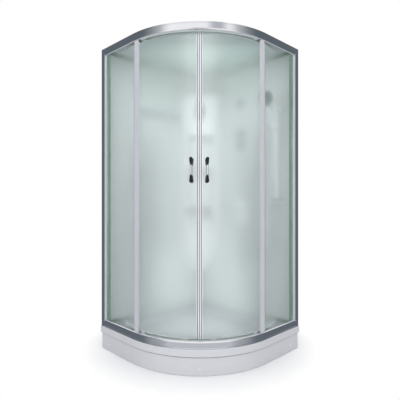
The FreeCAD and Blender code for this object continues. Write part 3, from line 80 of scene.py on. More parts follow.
# %% The hose's line
hose_points = [
    (0.316, 0.3452, 1.3764), (0.316, 0.3590, 1.3285), (0.310, 0.358, 1.255), (0.300, 0.354, 1.150),
    (0.290, 0.352, 1.040), (0.280, 0.353, 0.935), (0.269, 0.354, 0.850), (0.255, 0.356, 0.765),
    (0.241, 0.358, 0.690), (0.228, 0.360, 0.620), (0.215, 0.362, 0.560), (0.197, 0.364, 0.503),
    (0.164, 0.366, 0.462), (0.119, 0.368, 0.444), (0.072, 0.372, 0.456), (0.036, 0.376, 0.489),
    (0.016, 0.380, 0.538), (0.004, 0.385, 0.610), (-0.005, 0.390, 0.680), (-0.008, 0.392, 0.711),
    (-0.008, 0.392, 0.753),
]
hose_curve = bpy.data.curves.new("hose_line", "CURVE")
hose_curve.dimensions = "3D"
hose_curve.resolution_u = 24
hose_spline = hose_curve.splines.new("NURBS")
hose_spline.points.add(len(hose_points) - 1)
for spline_point, place in zip(hose_spline.points, hose_points):
    spline_point.co = (*place, 1)
hose_spline.order_u = 3
hose_spline.use_endpoint_u = True
hose_line = bpy.data.objects.new("hose_line", hose_curve)
line_mesh = bpy.data.meshes.new_from_object(hose_line)
hose_path = [vertex.co.copy() for vertex in line_mesh.vertices]
bpy.data.objects.remove(hose_line)

# %% [markdown]
# To sweep a ring along the line, each ring needs a plane. Carrying one side direction along
# from ring to ring, and only straightening it, keeps the tube from twisting. Every round form
# below is rows of corners, so one helper can join the rows and close both ends.

# %% Helpers that sweep rings along a path
def closed_skin(corner_count, sides):
    """Faces of a closed form whose corners come in rows of this many: its side and two ends."""
    faces = []
    for low in range(0, corner_count - sides, sides):
        for turn in range(sides):
            ahead = (turn + 1) % sides
            faces.append((low + turn, low + ahead, low + sides + ahead, low + sides + turn))
    faces.append(tuple(reversed(range(sides))))
    faces.append(tuple(range(corner_count - sides, corner_count)))
    return faces


def points_along(path, step):
    """Evenly spaced (place, direction) pairs on a path."""
    found = []
    run, reached = 0.0, 0.0
    for a, b in zip(path, path[1:]):
        length = (b - a).length
        if length == 0:
            continue
        direction = (b - a) / length
        while reached <= run + length:
            found.append((a + direction * (reached - run), direction))
            reached += step
        run += length
    found.append((path[-1], (path[-1] - path[-2]).normalized()))
    return found


def ringed_tube(name, path, step, radii, sides):
    """A closed tube whose rings take the radii one after the other."""
    rings = points_along(path, step)
    side = rings[0][1].orthogonal().normalized()
    corners = []
    for index, (place, direction) in enumerate(rings):
        side = (side - direction * side.dot(direction)).normalized()
        up = direction.cross(side)
        radius = radii[index % len(radii)]
        for turn in range(sides):
            angle = 2 * math.pi * turn / sides
            corners.append(place + radius * (side * math.cos(angle) + up * math.sin(angle)))
    mesh = bpy.data.meshes.new(name)
    mesh.from_pydata(corners, [], closed_skin(len(corners), sides))
    mesh.shade_smooth()
    piece = bpy.data.objects.new(name, mesh)
    bpy.context.scene.collection.objects.link(piece)
    return piece


# %% [markdown]
# The wound strip shows as fine ridges: two rings at the full radius, then one a little smaller.

# %% The hose's skin
ridge, groove = 0.0070, 0.0064
ring_step, hose_sides = 0.0011, 18
shower_hose = ringed_tube("wound_shower_hose", hose_path, ring_step, [ridge, ridge, groove], hose_sides)
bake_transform(shower_hose)
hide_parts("shower_hose")
print(len(shower_hose.data.polygons), "faces in the hose")

# %% [markdown]
# ## Finishes
# Every finish starts from Blender's one main shader. The constant numbers go straight onto the
# shader's sockets. What varies over the surface comes from noise, measured in metres on the
# part itself: a little change of tone, of gloss, and of the surface's fine shape.

# %% Helpers that start a finish and find places on the part
def new_finish(name, colour, roughness=0.4, metallic=0.0):
    """A material with its main shader set to plain numbers."""
    finish = bpy.data.materials.new(name)
    finish.use_nodes = True
    shader = finish.node_tree.nodes["Principled BSDF"]
    shader.inputs["Base Color"].default_value = (*colour, 1)
    shader.inputs["Roughness"].default_value = roughness
    shader.inputs["Metallic"].default_value = metallic
    return finish, finish.node_tree, shader


def noise_on_part(tree, size, detail=3.0, stretch=(1, 1, 1)):
    """Noise whose bumps are about size metres across, on the part's own coordinates."""
    where = tree.nodes.new("ShaderNodeTexCoord")
    grain = tree.nodes.new("ShaderNodeTexNoise")
    grain.inputs["Scale"].default_value = 1 / size
    grain.inputs["Detail"].default_value = detail
    stretched = tree.nodes.new("ShaderNodeMapping")
    stretched.inputs["Scale"].default_value = stretch
    tree.links.new(where.outputs["Object"], stretched.inputs["Vector"])
    tree.links.new(stretched.outputs["Vector"], grain.inputs["Vector"])
    return grain.outputs["Fac"]


def place_on_part(tree):
    """The part's own coordinates in metres, whole and split into x, y and z."""
    where = tree.nodes.new("ShaderNodeTexCoord")
    split = tree.nodes.new("ShaderNodeSeparateXYZ")
    tree.links.new(where.outputs["Object"], split.inputs[0])
    return where, split


# %% [markdown]
# A finish that changes from place to place needs a little arithmetic between its nodes. Three
# small helpers do it all: one step of arithmetic, the reach along a direction, and the turning
# of any value into a number of the wanted range.

# %% Helpers for arithmetic between nodes
def reckon(tree, operation, *values):
    """One step of arithmetic; each value is a number or another node's output."""
    step = tree.nodes.new("ShaderNodeMath")
    step.operation = operation
    for socket, value in zip(step.inputs, values):
        if isinstance(value, (int, float)):
            socket.default_value = value
        else:
            tree.links.new(value, socket)
    return step.outputs[0]


def reach_along(tree, vector, direction):
    """How far a vector reaches along a direction."""
    product = tree.nodes.new("ShaderNodeVectorMath")
    product.operation = "DOT_PRODUCT"
    product.inputs[1].default_value = direction
    tree.links.new(vector, product.inputs[0])
    return product.outputs["Value"]


def between(tree, factor, low, high, from_low=0.3, from_high=0.7):
    """Turns a value, by default the middle range of noise, into a number between low and high."""
    spread = tree.nodes.new("ShaderNodeMapRange")
    spread.inputs["From Min"].default_value = from_low
    spread.inputs["From Max"].default_value = from_high
    spread.inputs["To Min"].default_value = low
    spread.inputs["To Max"].default_value = high
    tree.links.new(factor, spread.inputs["Value"])
    return spread.outputs["Result"]


# %% [markdown]
# The other helpers work on what is seen: a tone that drifts, a relief too fine to model, and the
# slight darkening of handled places.

# %% Helpers for tone and relief
def tone_between(tree, factor, first, second):
    """A colour that drifts between two tones."""
    mix = tree.nodes.new("ShaderNodeMix")
    mix.data_type = "RGBA"  # its two colours are sockets 6 and 7, and its mixed colour is output 2
    mix.inputs[6].default_value = (*first, 1)
    mix.inputs[7].default_value = (*second, 1)
    tree.links.new(factor, mix.inputs[0])
    return mix.outputs[2]


def raise_surface(tree, shader, height, depth, strength=1.0):
    """Adds fine relief of this depth in metres."""
    relief = tree.nodes.new("ShaderNodeBump")
    relief.inputs["Distance"].default_value = depth
    relief.inputs["Strength"].default_value = strength
    tree.links.new(height, relief.inputs["Height"])
    tree.links.new(relief.outputs["Normal"], shader.inputs["Normal"])


def wear(colour, gap):
    """The same tone a little darker, for the places that are handled or that gather lime."""
    return tuple(value * (1 - gap) for value in colour)


# %% [markdown]
# Most pieces are either a plastic or a polished metal. One function for each keeps the pieces
# alike in kind, and its values make every one of them different in tone and gloss. A metal's
# wiping marks can be stretched, because a drawn rail is brushed along its length.

# %% Plastics and metals
def plastic(name, colour, roughness, drift=0.06, grain=0.0008, depth=0.00002, coat=0.0):
    """A moulded or cast plastic: slight flow marks, uneven gloss and a faint grain."""
    finish, tree, shader = new_finish(name, colour, roughness)
    clouds = noise_on_part(tree, 0.09, 4)
    tree.links.new(tone_between(tree, between(tree, clouds, 0, 1), colour, wear(colour, drift)),
                   shader.inputs["Base Color"])
    smears = noise_on_part(tree, 0.02, 5)
    tree.links.new(between(tree, smears, roughness * 0.8, roughness * 1.25), shader.inputs["Roughness"])
    shader.inputs["Coat Weight"].default_value = coat
    shader.inputs["Coat Roughness"].default_value = 0.06
    raise_surface(tree, shader, noise_on_part(tree, grain, 2), depth, 0.5)
    return finish


def polished_metal(name, colour, roughness, drift=0.08, drawn=(1, 1, 1), depth=0.000012):
    """A plated or drawn metal: near mirror gloss, broken by wiping marks along the part."""
    finish, tree, shader = new_finish(name, colour, roughness, 1.0)
    film = noise_on_part(tree, 0.05, 5)
    tree.links.new(tone_between(tree, between(tree, film, 0, 1), colour, wear(colour, drift)),
                   shader.inputs["Base Color"])
    wiped = noise_on_part(tree, 0.012, 6, drawn)
    tree.links.new(between(tree, wiped, roughness * 0.6, roughness * 1.6), shader.inputs["Roughness"])
    raise_surface(tree, shader, noise_on_part(tree, 0.004, 3, drawn), depth, 0.6)
    return finish


# %% [markdown]
# ### Frosted glass
# The panes are toughened glass with one etched side: light passes, but leaves in a soft cone,
# so near things stay half clear and far things melt away. The shader is real glass with a
# rough surface. Shadow rays may pass it partly, which stands for the daylight that an etched
# pane lets through and that a path tracer would otherwise hardly find.

# %% The glass
shadow_light_passed = 0.8


def frosted_glass_finish():
    """Rough glass, a little green, with clouds of tone from the etching."""
    green = (0.835, 0.880, 0.880)
    finish, tree, shader = new_finish("frosted_green_glass", green, 0.225)
    shader.inputs["Transmission Weight"].default_value = 1.0
    shader.inputs["IOR"].default_value = 1.46
    etched = noise_on_part(tree, 0.004, 6)
    tree.links.new(between(tree, etched, 0.205, 0.245), shader.inputs["Roughness"])
    clouds = noise_on_part(tree, 0.25, 3)
    tree.links.new(tone_between(tree, between(tree, clouds, 0, 1), green, wear(green, 0.03)),
                   shader.inputs["Base Color"])
    ray = tree.nodes.new("ShaderNodeLightPath")
    solid = reckon(tree, "MULTIPLY_ADD", ray.outputs["Is Shadow Ray"], -shadow_light_passed, 1.0)
    tree.links.new(solid, shader.inputs["Alpha"])
    raise_surface(tree, shader, noise_on_part(tree, 0.0012, 3), 0.00001, 0.4)
    return finish


frosted = frosted_glass_finish()
print("glass lets", shadow_light_passed, "of the shadow light through each face")

# %% [markdown]
# ### The wall boards
# The two back walls are white acrylic boards. The photograph shows a soft greyer band standing
# on each of them, about half a metre out of the corner and fading out above the handles; the
# finish paints it in as shade. Both walls can share one finish, because x - y grows with the
# distance from the corner on each of them. A second patch of painted shade lies behind the riser
# bar, where the photograph's wall is darker than the bar. Only the inner faces get the painted
# shade: the surface's own direction tells them apart.

# %% The wall boards
towards_front = (1, -1, 0)
corner_value = -0.84  # x - y in the cabin's corner
shade_band_from_corner, shade_band_half_width = 0.54, 0.17
shade_band_fade_low, shade_band_fade_high = 1.15, 1.6
riser_shade_patch_middle = 1.08
riser_shade_patch_edge, riser_shade_patch_fade = (0.17, 0.27), (0.40, 0.62)


def wall_board_painted_shade_finish():
    """White board with a soft band of painted shade and a painted shade patch behind the riser."""
    # grey is the tone of the painted shade in the band and in the patch behind the riser.
    white, grey = (0.76, 0.78, 0.78), (0.60, 0.62, 0.62)
    finish, tree, shader = new_finish("white_wall_board", white, 0.3)
    where, split = place_on_part(tree)
    run = reach_along(tree, where.outputs["Object"], towards_front)
    off_shade_band = reckon(tree, "ABSOLUTE", reckon(tree, "SUBTRACT", run, corner_value + shade_band_from_corner))
    band = between(tree, off_shade_band, 1, 0, 0.0, shade_band_half_width)
    low = between(tree, split.outputs["Z"], 1, 0, shade_band_fade_low, shade_band_fade_high)
    off_shade_patch = reckon(tree, "ABSOLUTE", reckon(tree, "SUBTRACT", split.outputs["Z"], riser_shade_patch_middle))
    patch = reckon(tree, "MULTIPLY", between(tree, split.outputs["X"], 0, 0.85, *riser_shade_patch_edge),
                   between(tree, off_shade_patch, 1, 0, *riser_shade_patch_fade))
    inside = between(tree, reach_along(tree, where.outputs["Normal"], towards_front), 0, 1, 0.2, 0.8)
    # The band and the patch are painted shade, kept to the inner faces.
    painted_shade_amount = reckon(tree, "MULTIPLY", reckon(tree, "MAXIMUM", reckon(tree, "MULTIPLY", band, low), patch),
                    inside)
    uneven = reckon(tree, "MULTIPLY_ADD", noise_on_part(tree, 0.12, 4), 0.12, painted_shade_amount)
    tree.links.new(tone_between(tree, uneven, white, grey), shader.inputs["Base Color"])
    smears = noise_on_part(tree, 0.02, 5)
    tree.links.new(between(tree, smears, 0.24, 0.38), shader.inputs["Roughness"])
    shader.inputs["Coat Weight"].default_value = 0.2
    shader.inputs["Coat Roughness"].default_value = 0.06
    raise_surface(tree, shader, noise_on_part(tree, 0.0008, 2), 0.00002, 0.5)
    return finish


wall_board = wall_board_painted_shade_finish()
print("greyer band", shade_band_from_corner, "m from the corner along each wall")

# %% [markdown]
# ### The hand shower
# Its grip is pale and its head is dark, and both are one moulding. Two materials would need the
# piece to be cut in two. Here one material changes its tone at the height of the neck instead,
# read from the part's own coordinates, so the two tones move with the piece.

# %% The hand shower's two tones
neck_height, neck_half = 1.540, 0.005


def hand_shower_finish():
    """A pale grip and a smoked grey head, split by height on the part."""
    pale, smoked = (0.80, 0.82, 0.83), (0.21, 0.26, 0.245)
    finish, tree, shader = new_finish("two_tone_hand_shower", pale, 0.2)
    height = place_on_part(tree)[1].outputs["Z"]
    head = between(tree, height, 0, 1, neck_height - neck_half, neck_height + neck_half)
    tree.links.new(tone_between(tree, head, pale, smoked), shader.inputs["Base Color"])
    smears = noise_on_part(tree, 0.012, 5)
    tree.links.new(between(tree, smears, 0.14, 0.28), shader.inputs["Roughness"])
    shader.inputs["Coat Weight"].default_value = 0.5
    raise_surface(tree, shader, noise_on_part(tree, 0.0012, 2), 0.00002, 0.4)
    return finish


hand_shower_shade = hand_shower_finish()
print("the head starts at", neck_height, "m")

# %% [markdown]
# ### The other finishes
# White acrylic and white board are close in colour but not in gloss. The metals differ in how
# they were made: zinc plate is dull, drawn rail is brushed along its length, and chrome is
# nearly a mirror. The table keeps each finish under the name of the slot that it is for.

# %% The finishes by the name of the part's material slot
finishes = {
    "white_acrylic": plastic("white_tray_acrylic", (0.645, 0.645, 0.675), 0.22, 0.03, coat=0.4),
    "white_wall": wall_board,
    "white_moulding": plastic("white_column_moulding", (0.90, 0.90, 0.91), 0.30, 0.02, coat=0.2),
    "plated_steel": polished_metal("zinc_plated_steel", (0.62, 0.62, 0.60), 0.38),
    "screw_cap": plastic("white_screw_caps", (0.72, 0.72, 0.74), 0.3, 0.05),
    "frame_paint": plastic("grey_frame_paint", (0.22, 0.23, 0.24), 0.5, 0.15, 0.002, 0.0001),
    "foot_plastic": plastic("black_foot_plastic", (0.05, 0.05, 0.055), 0.55, 0.2),
    "pipe_plastic": plastic("grey_waste_pipe", (0.42, 0.43, 0.44), 0.45, 0.1),
    "chrome": polished_metal("bathroom_chrome", (0.86, 0.87, 0.89), 0.07),
    "rail_chrome": polished_metal("bright_rail_aluminium", (0.84, 0.85, 0.88), 0.10, 0.04, (1, 1, 8)),
    "track_aluminium": plastic("pale_anodised_track", (0.90, 0.91, 0.92), 0.4, 0.05),
    "stop_rubber": plastic("pale_stop_rubber", (0.60, 0.62, 0.61), 0.6, 0.12),
    "frosted_glass": frosted,
    "satin_aluminium": plastic("satin_edge_strips", (0.57, 0.575, 0.615), 0.42, 0.04, 0.0006, 0.00001),
    "clear_seal": plastic("clear_seal_vinyl", (0.62, 0.68, 0.66), 0.35, 0.08),
    "meeting_seal": plastic("meeting_seal_vinyl", (0.95, 0.96, 0.99), 0.2, 0.03),
    "mirror": polished_metal("smoked_mirror", (0.16, 0.18, 0.18), 0.12, 0.03),
    "jet_plastic": plastic("grey_jet_plastic", (0.56, 0.58, 0.59), 0.35, 0.08),
    "hose_metal": plastic("wound_silver_hose", (0.88, 0.89, 0.91), 0.25, 0.06, coat=0.5),
    # The roof's darker, greener grey is painted shade.
    "roof_painted_shade": plastic("painted_shade_green_grey_roof", (0.70, 0.79, 0.765), 0.35, 0.03),
    "black_chrome": polished_metal("black_screw_chrome", (0.05, 0.055, 0.07), 0.15),
    "bright_fitting": plastic("bright_satin_fittings", (0.93, 0.94, 0.95), 0.25, 0.03, coat=0.6),
    "slider_plastic": plastic("chromed_slider", (0.80, 0.82, 0.83), 0.2, 0.08),
    "handset_plastic": hand_shower_shade,
    "carriage_plastic": plastic("pale_carriages", (0.80, 0.81, 0.83), 0.3, 0.06),
    "wheel_plastic": plastic("wheel_nylon", (0.78, 0.78, 0.76), 0.4, 0.08),
}
print(len(finishes), "finishes")

# %% [markdown]
# Each CAD piece arrives with a grey material whose name is its slot. The script looks that
# name up and puts the finish in its place. A few pieces leave their slot's finish: through the
# frosted glass the riser and the mixer look pale, the roof gets a darker green grey that is
# painted shade, and the screws of the handles are as dark as the ends that they sit in.

# %% Give every CAD piece its finish
for name, piece in parts.items():
    for place, drawn in enumerate(piece.data.materials):
        piece.data.materials[place] = finishes[drawn.name.split(".")[0]]
for name in ("riser_bar", "mixer_body", "mixer_lever", "diverter_knob"):
    parts[name].data.materials[0] = finishes["bright_fitting"]
parts["roof_panel"].data.materials[0] = finishes["roof_painted_shade"]
for name in ("left_handle_screws", "right_handle_screws"):
    parts[name].data.materials[0] = finishes["black_chrome"]
shower_hose.data.materials.append(finishes["hose_metal"])
print(len(parts), "pieces have their finish")

# %% [markdown]
# ## Places on the rounded front
# The doors, their handles, the seals and the rails all follow one circle. Its axis stands
# behind the doors, so a place on the front is best given as a distance from that axis and
# an angle round it.

# %% Where things are on the rounded front
arc_middle = Vector((-0.100, 0.100, 0))
meeting_angle = -45.0


def on_front(radius, angle, height):
    """A point given by its distance and direction from the axis of the rounded front."""
    turn = math.radians(angle)
    return arc_middle + Vector((radius * math.cos(turn), radius * math.sin(turn), height))


print("the doors meet at", meeting_angle, "degrees round the axis")

# %% [markdown]
# What is added below is built from lists of corners and faces, because its curves are plain
# formulas. A form can be turned on an axis, as on a lathe, and several forms can be put
# together as one piece. Each piece is told at once which body of the cabin carries it.

# %% Helpers that turn corners into pieces
def add_piece(name, corners, faces, body, finish, smooth=True):
    """A mesh object that rides with a body and has its finish."""
    mesh = bpy.data.meshes.new(name)
    mesh.from_pydata(corners, [], faces)
    mesh.update()
    if smooth:
        mesh.shade_smooth()
    mesh.materials.append(finish)
    piece = bpy.data.objects.new(name, mesh)
    bpy.context.scene.collection.objects.link(piece)
    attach(piece, body)
    return piece


def turned_form(rings, start, direction, sides=28):
    """Corners and faces of a closed round form: (distance along, radius) rings on an axis."""
    direction = direction.normalized()
    side = direction.orthogonal().normalized()
    up = direction.cross(side)
    corners = []
    for along, radius in rings:
        for turn in range(sides):
            angle = 2 * math.pi * turn / sides
            round_it = radius * (side * math.cos(angle) + up * math.sin(angle))
            corners.append(start + direction * along + round_it)
    return corners, closed_skin(len(corners), sides)


def put_together(forms):
    """Several forms as one list of corners and faces."""
    corners, faces = [], []
    for more_corners, more_faces in forms:
        offset = len(corners)
        corners.extend(more_corners)
        faces.extend(tuple(corner + offset for corner in face) for face in more_faces)
    return corners, faces


# %% [markdown]
# ## The door handles
# Each door has a chrome bow outside and one inside, held by two screws through the glass. The
# ends of each grip are black chrome and its middle is bright. One finish does both: it
# measures how far each point lies from the grip's middle height.

# %% The finish of the handles
handle_middle_height = 1.113
dark_from, dark_fully = 0.024, 0.030


def handle_finish():
    """Bright chrome in the middle of the grip, black chrome on its two thick ends."""
    bright, dark = (0.86, 0.87, 0.89), (0.035, 0.040, 0.055)
    finish, tree, shader = new_finish("two_tone_handle_chrome", bright, 0.06, 1.0)
    height = place_on_part(tree)[1].outputs["Z"]
    away = reckon(tree, "ABSOLUTE", reckon(tree, "SUBTRACT", height, handle_middle_height))
    ends = between(tree, away, 0, 1, dark_from, dark_fully)
    tree.links.new(tone_between(tree, ends, bright, dark), shader.inputs["Base Color"])
    rubbed = noise_on_part(tree, 0.006, 5)
    tree.links.new(between(tree, rubbed, 0.04, 0.12), shader.inputs["Roughness"])
    return finish


handle_chrome = handle_finish()
print("dark ends start", dark_from, "m from the middle of a grip")

# %% [markdown]
# The grip is thick and round at its ends and thin in the middle. A row of rings whose radius
# follows a smooth curve gives that shape without a single hard edge. The rings lie closer
# together near the ends, where the radius changes fast. Two short posts with a flared foot
# carry each grip, and they stop just short of the glass.

# %% The grip's outline
grip_half_length = 0.070
thick, thin = 0.0090, 0.0053
thin_until, ball_from = 0.020, 0.061


def grip_radius(height):
    """Thick round ends and a thin middle, in metres."""
    reach = abs(height)
    if reach > ball_from:
        return math.sqrt(max(thick ** 2 - (reach - ball_from) ** 2, 0.0004 ** 2))
    share = min(1, max(0, (reach - thin_until) / (ball_from - thin_until)))
    return thin + (thick - thin) * (share * share * (3 - 2 * share))


def post_outline(long):
    """Rings of a post, from inside the grip to its flared foot at the glass."""
    return [(0.000, 0.0062), (long * 0.5, 0.0058), (long - 0.005, 0.0062), (long - 0.003, 0.0085),
            (long - 0.0008, 0.0090), (long, 0.0088)]


grip_heights = [grip_half_length * math.sin(math.pi / 2 * step / 30) for step in range(-30, 31)]
print(len(grip_heights), "rings in each grip")

# %% [markdown]
# The outer and the inner grip of a door differ only in their distance from the axis, and the
# left and the right one in the sign of their angle. So two loops make all four handles.

# %% The four handles
handle_angle, post_height = 4.7, 0.057
for hand, sign in (("left", -1), ("right", 1)):
    angle = meeting_angle + sign * handle_angle
    outwards = on_front(1, angle, 0) - arc_middle
    for which, radius, foot, into in (("outer", 0.551, 0.5233, -1), ("inner", 0.489, 0.5167, 1)):
        forms = [turned_form([(height, grip_radius(height)) for height in grip_heights],
                             on_front(radius, angle, handle_middle_height), Vector((0, 0, 1)))]
        for end in (-post_height, post_height):
            forms.append(turned_form(post_outline(abs(radius - foot)),
                                     on_front(radius, angle, handle_middle_height + end),
                                     outwards * into))
        handle = add_piece(f"{hand}_{which}_bow_handle", *put_together(forms), f"{hand}_door",
                           handle_chrome)
        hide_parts(f"{hand}_{which}_handle")
print("four handles", handle_angle, "degrees from the meeting line")

# %% [markdown]
# ## The seals where the doors meet
# Two vinyl strips with a magnet inside pull the doors shut. Seen from the front each one is a
# pale bead by the meeting line, then a dark groove, then a bright lip that grips the glass. The
# groove's near black is painted shade, and the dark of the magnet faces and of the front edge by
# the meeting line is partly their own colour and partly painted shade of the gap.
# The outline of the strip is drawn once as (angle, distance) pairs and run up the door.

# %% The meeting seals
# Painted shade: near black in the groove, and dark blue grey in the gap at the meeting line.
groove_painted_shade = plastic("seal_groove_shade", (0.022, 0.024, 0.028), 0.6, 0.1)
magnet_and_gap_shade = plastic("seal_magnet_core", (0.020, 0.030, 0.045), 0.6, 0.1)
seal_outline = [  # degrees from the meeting line, metres from the axis, and the shade index
    (0.06, 0.5160, 2), (0.06, 0.5234, 2), (0.30, 0.5238, 0), (0.35, 0.5245, 0), (0.85, 0.5245, 0),
    (0.91, 0.5238, 1), (1.38, 0.5238, 1), (1.42, 0.5245, 0), (1.55, 0.5245, 0), (1.70, 0.5240, 0),
    (1.75, 0.5232, 0), (1.74, 0.52315, 0), (0.89, 0.52315, 0), (0.89, 0.51685, 0), (1.74, 0.51685, 0),
    (1.75, 0.5167, 0), (1.70, 0.5158, 0), (1.14, 0.5155, 0), (0.40, 0.5155, 0),
]
seal_foot, seal_head, seal_levels = 0.201, 1.857, 24
seal_heights = [seal_foot + (seal_head - seal_foot) * step / seal_levels
                for step in range(seal_levels + 1)]
print(len(seal_outline), "corners in the strip's outline")

# %% [markdown]
# The outline is repeated at even heights, and each face between two heights takes the tone of
# its own corner: vinyl, the groove's painted shade, or the magnet face with the gap's painted
# shade. The right strip is the left one mirrored.

# %% Run the outline up both doors
for hand, sign in (("left", -1), ("right", 1)):
    count = len(seal_outline)
    corners = [on_front(radius, meeting_angle + sign * turn, height)
               for height in seal_heights for turn, radius, shade in seal_outline]
    faces = closed_skin(len(corners), count)
    if sign > 0:  # the mirrored strip is wound the other way round
        faces = [tuple(reversed(face)) for face in faces]
    seal = add_piece(f"{hand}_magnetic_seal", corners, faces, f"{hand}_door", finishes["meeting_seal"],
                     smooth=False)
    seal.data.materials.append(groove_painted_shade)
    seal.data.materials.append(magnet_and_gap_shade)
    for index in range(seal_levels * count):
        seal.data.polygons[index].material_index = seal_outline[index % count][2]
    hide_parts(f"{hand}_meeting_seal")
print("seal strips", round(seal_head - seal_foot, 3), "m long")

# %% [markdown]
# ## The wipers of the two curved rails
# Behind the lip of each rail hangs a soft strip that closes the slot in front of the doors, so
# that spray stays inside and the dark running space of the wheels isn't seen. It is one thin
# band that follows the rail's own arc, with a rounded free edge. It is swept here as five
# corners repeated along the arc, because the rail carries it and nothing rests on it.

# %% The wiper strips
wiper_vinyl = plastic("pale_wiper_vinyl", (0.37, 0.43, 0.41), 0.45, 0.06)
wiper_outside, wiper_inside = 0.5389, 0.5377
wiper_half_turn, wiper_steps = 38.5, 96
wiper_tip = 0.08  # the share of its height over which the free edge is rounded
wiper_turns = [meeting_angle + wiper_half_turn * (2 * step / wiper_steps - 1)
               for step in range(wiper_steps + 1)]


def rail_wiper(name, held_edge, free_edge):
    """A thin curved strip behind a rail's lip, from its held edge to its rounded free edge."""
    tip = free_edge + (held_edge - free_edge) * wiper_tip
    middle = (wiper_outside + wiper_inside) / 2
    outline = [(wiper_outside, held_edge), (wiper_outside, tip), (middle, free_edge),
               (wiper_inside, tip), (wiper_inside, held_edge)]
    corners = [on_front(radius, turn, height) for turn in wiper_turns for radius, height in outline]
    strip = add_piece(name, corners, closed_skin(len(corners), len(outline)), "enclosure", wiper_vinyl,
                      smooth=False)


rail_wiper("top_rail_wiper", 1.872, 1.8595)
rail_wiper("bottom_rail_wiper", 0.186, 0.1950)
print("wiper strips", round(2 * math.radians(wiper_half_turn) * wiper_outside, 3), "m along the arc")

# %% [markdown]
# ## Strips of painted shade by the fixed panes
# Behind each fixed pane, beside its post, runs a sealing profile that shows through the green
# glass as a darker line; its dark green is painted shade, the shade of the narrow gap between the
# post and the wall. It is too thin to matter for strength, so it is made here and not in the
# CAD drawing. A box with its edges bevelled is all it needs.

# %% Sealing profiles behind the fixed panes
# Painted shade: the dark green stands for the shade between the post and the wall.
post_gap_painted_shade = plastic("dark_green_profile_painted_shade", (0.19, 0.37, 0.27), 0.45, 0.15)
profile_foot, profile_head = 0.190, 1.868
trim_edge_rounding = 0.0008


def painted_shade_strip(name, low, high, finish):
    """A thin strip of painted shade with rounded edges between two corners, riding on the fixed side."""
    (x0, y0, z0), (x1, y1, z1) = low, high
    corners = [(x, y, z) for z in (z0, z1) for x, y in ((x0, y0), (x1, y0), (x1, y1), (x0, y1))]
    faces = [(3, 2, 1, 0), (4, 5, 6, 7), (0, 1, 5, 4), (1, 2, 6, 5), (2, 3, 7, 6), (3, 0, 4, 7)]
    strip = add_piece(name, corners, faces, "enclosure", finish, smooth=False)
    edge = strip.modifiers.new("rounded edges", "BEVEL")
    edge.width = trim_edge_rounding
    edge.segments = 2


painted_shade_strip("left_post_gap_shade_profile",
              (-0.388, -0.4318, profile_foot), (-0.361, -0.4290, profile_head), post_gap_painted_shade)
painted_shade_strip("right_post_gap_shade_profile",
              (0.4290, 0.361, profile_foot), (0.4318, 0.388, profile_head), post_gap_painted_shade)
print("sealing profiles", round(profile_head - profile_foot, 3), "m long")

# %% [markdown]
# The same dark trim runs along the walls' lower and upper edges, and the glass turns it into the
# soft wedges that the photograph shows. Its dark green is painted shade, the shade where the walls
# meet the tray and the roof. Those wedges fade towards the corner of the cabin, so the trim's
# painted shade fades too, by the distance along the wall.

# %% Trims along the walls, over the tray and under the roof
pale_at, dark_at = -0.34, 0.0  # x - y, which grows along each wall from the corner to its post


def painted_trim_shade_finish():
    """Painted shade: dark green by the posts and pale towards the cabin's corner."""
    finish, tree, shader = new_finish("fading_wall_trim", (0.5, 0.55, 0.52), 0.45)
    where = tree.nodes.new("ShaderNodeTexCoord")
    run = reach_along(tree, where.outputs["Object"], towards_front)
    share = between(tree, run, 0, 1, pale_at, dark_at)
    # Painted shade, pale towards the cabin's corner and dark green by the posts.
    tree.links.new(tone_between(tree, share, (0.70, 0.72, 0.71), (0.10, 0.19, 0.15)),
                   shader.inputs["Base Color"])
    raise_surface(tree, shader, noise_on_part(tree, 0.002, 3), 0.00003, 0.5)
    return finish


trim_painted_shade = painted_trim_shade_finish()
trim_heights = {"foot": (0.1465, 0.172), "head": (1.888, 1.9125)}
trim_runs = {
    "left": ((-0.4238, -0.400), (-0.4205, 0.405)),
    "back": ((-0.405, 0.4205), (0.400, 0.4238)),
}
for side, (low, high) in trim_runs.items():
    for place, (bottom, top) in trim_heights.items():
        painted_shade_strip(f"{side}_wall_{place}_trim", (*low, bottom), (*high, top), trim_painted_shade)
print(len(trim_runs) * len(trim_heights), "wall trims")

# %% [markdown]
# Under the tray's lip a thin dark bead runs along the seam to the skirt; its dark grey is painted
# shadow of the lip. It is one tube swept along a line of points: straight at both ends, and round
# the front on the same axis.

# %% The bead under the tray's lip
# Painted shadow under the tray's lip.
lip_painted_shadow = plastic("dark_seam_painted_shadow", (0.10, 0.105, 0.12), 0.5, 0.12)
lip_bottom, bead_below_lip = 0.104, 0.0036
bead_height = lip_bottom - bead_below_lip
bead_from_axis, bead_radius = 0.5432, 0.0013
bead_line = [Vector((-0.4485, -0.4432, bead_height))]
bead_line += [on_front(bead_from_axis, -90 + 90 * step / 40, bead_height) for step in range(41)]
bead_line += [Vector((0.4432, 0.4485, bead_height))]
seam_bead = ringed_tube("lip_shadow_bead", bead_line, 0.012, [bead_radius], 8)
seam_bead.data.materials.append(lip_painted_shadow)
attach(seam_bead, "enclosure")
print("bead points", len(bead_line))

# %% [markdown]
# ## Nozzles, ribs and studs
# Behind the glass a few small forms tell what a plain disc is for. Soft rubber nozzles stand in
# rings on the hand shower and on the body jets, so that lime can be rubbed off them. Each is a
# tiny turned form, set out by a loop. The hand shower's become one mesh, because they move with
# it, and the jets' become another.

# %% Nozzles on the spray faces
nozzle_rubber = plastic("grey_nozzle_rubber", (0.30, 0.32, 0.33), 0.6, 0.15, 0.0004)


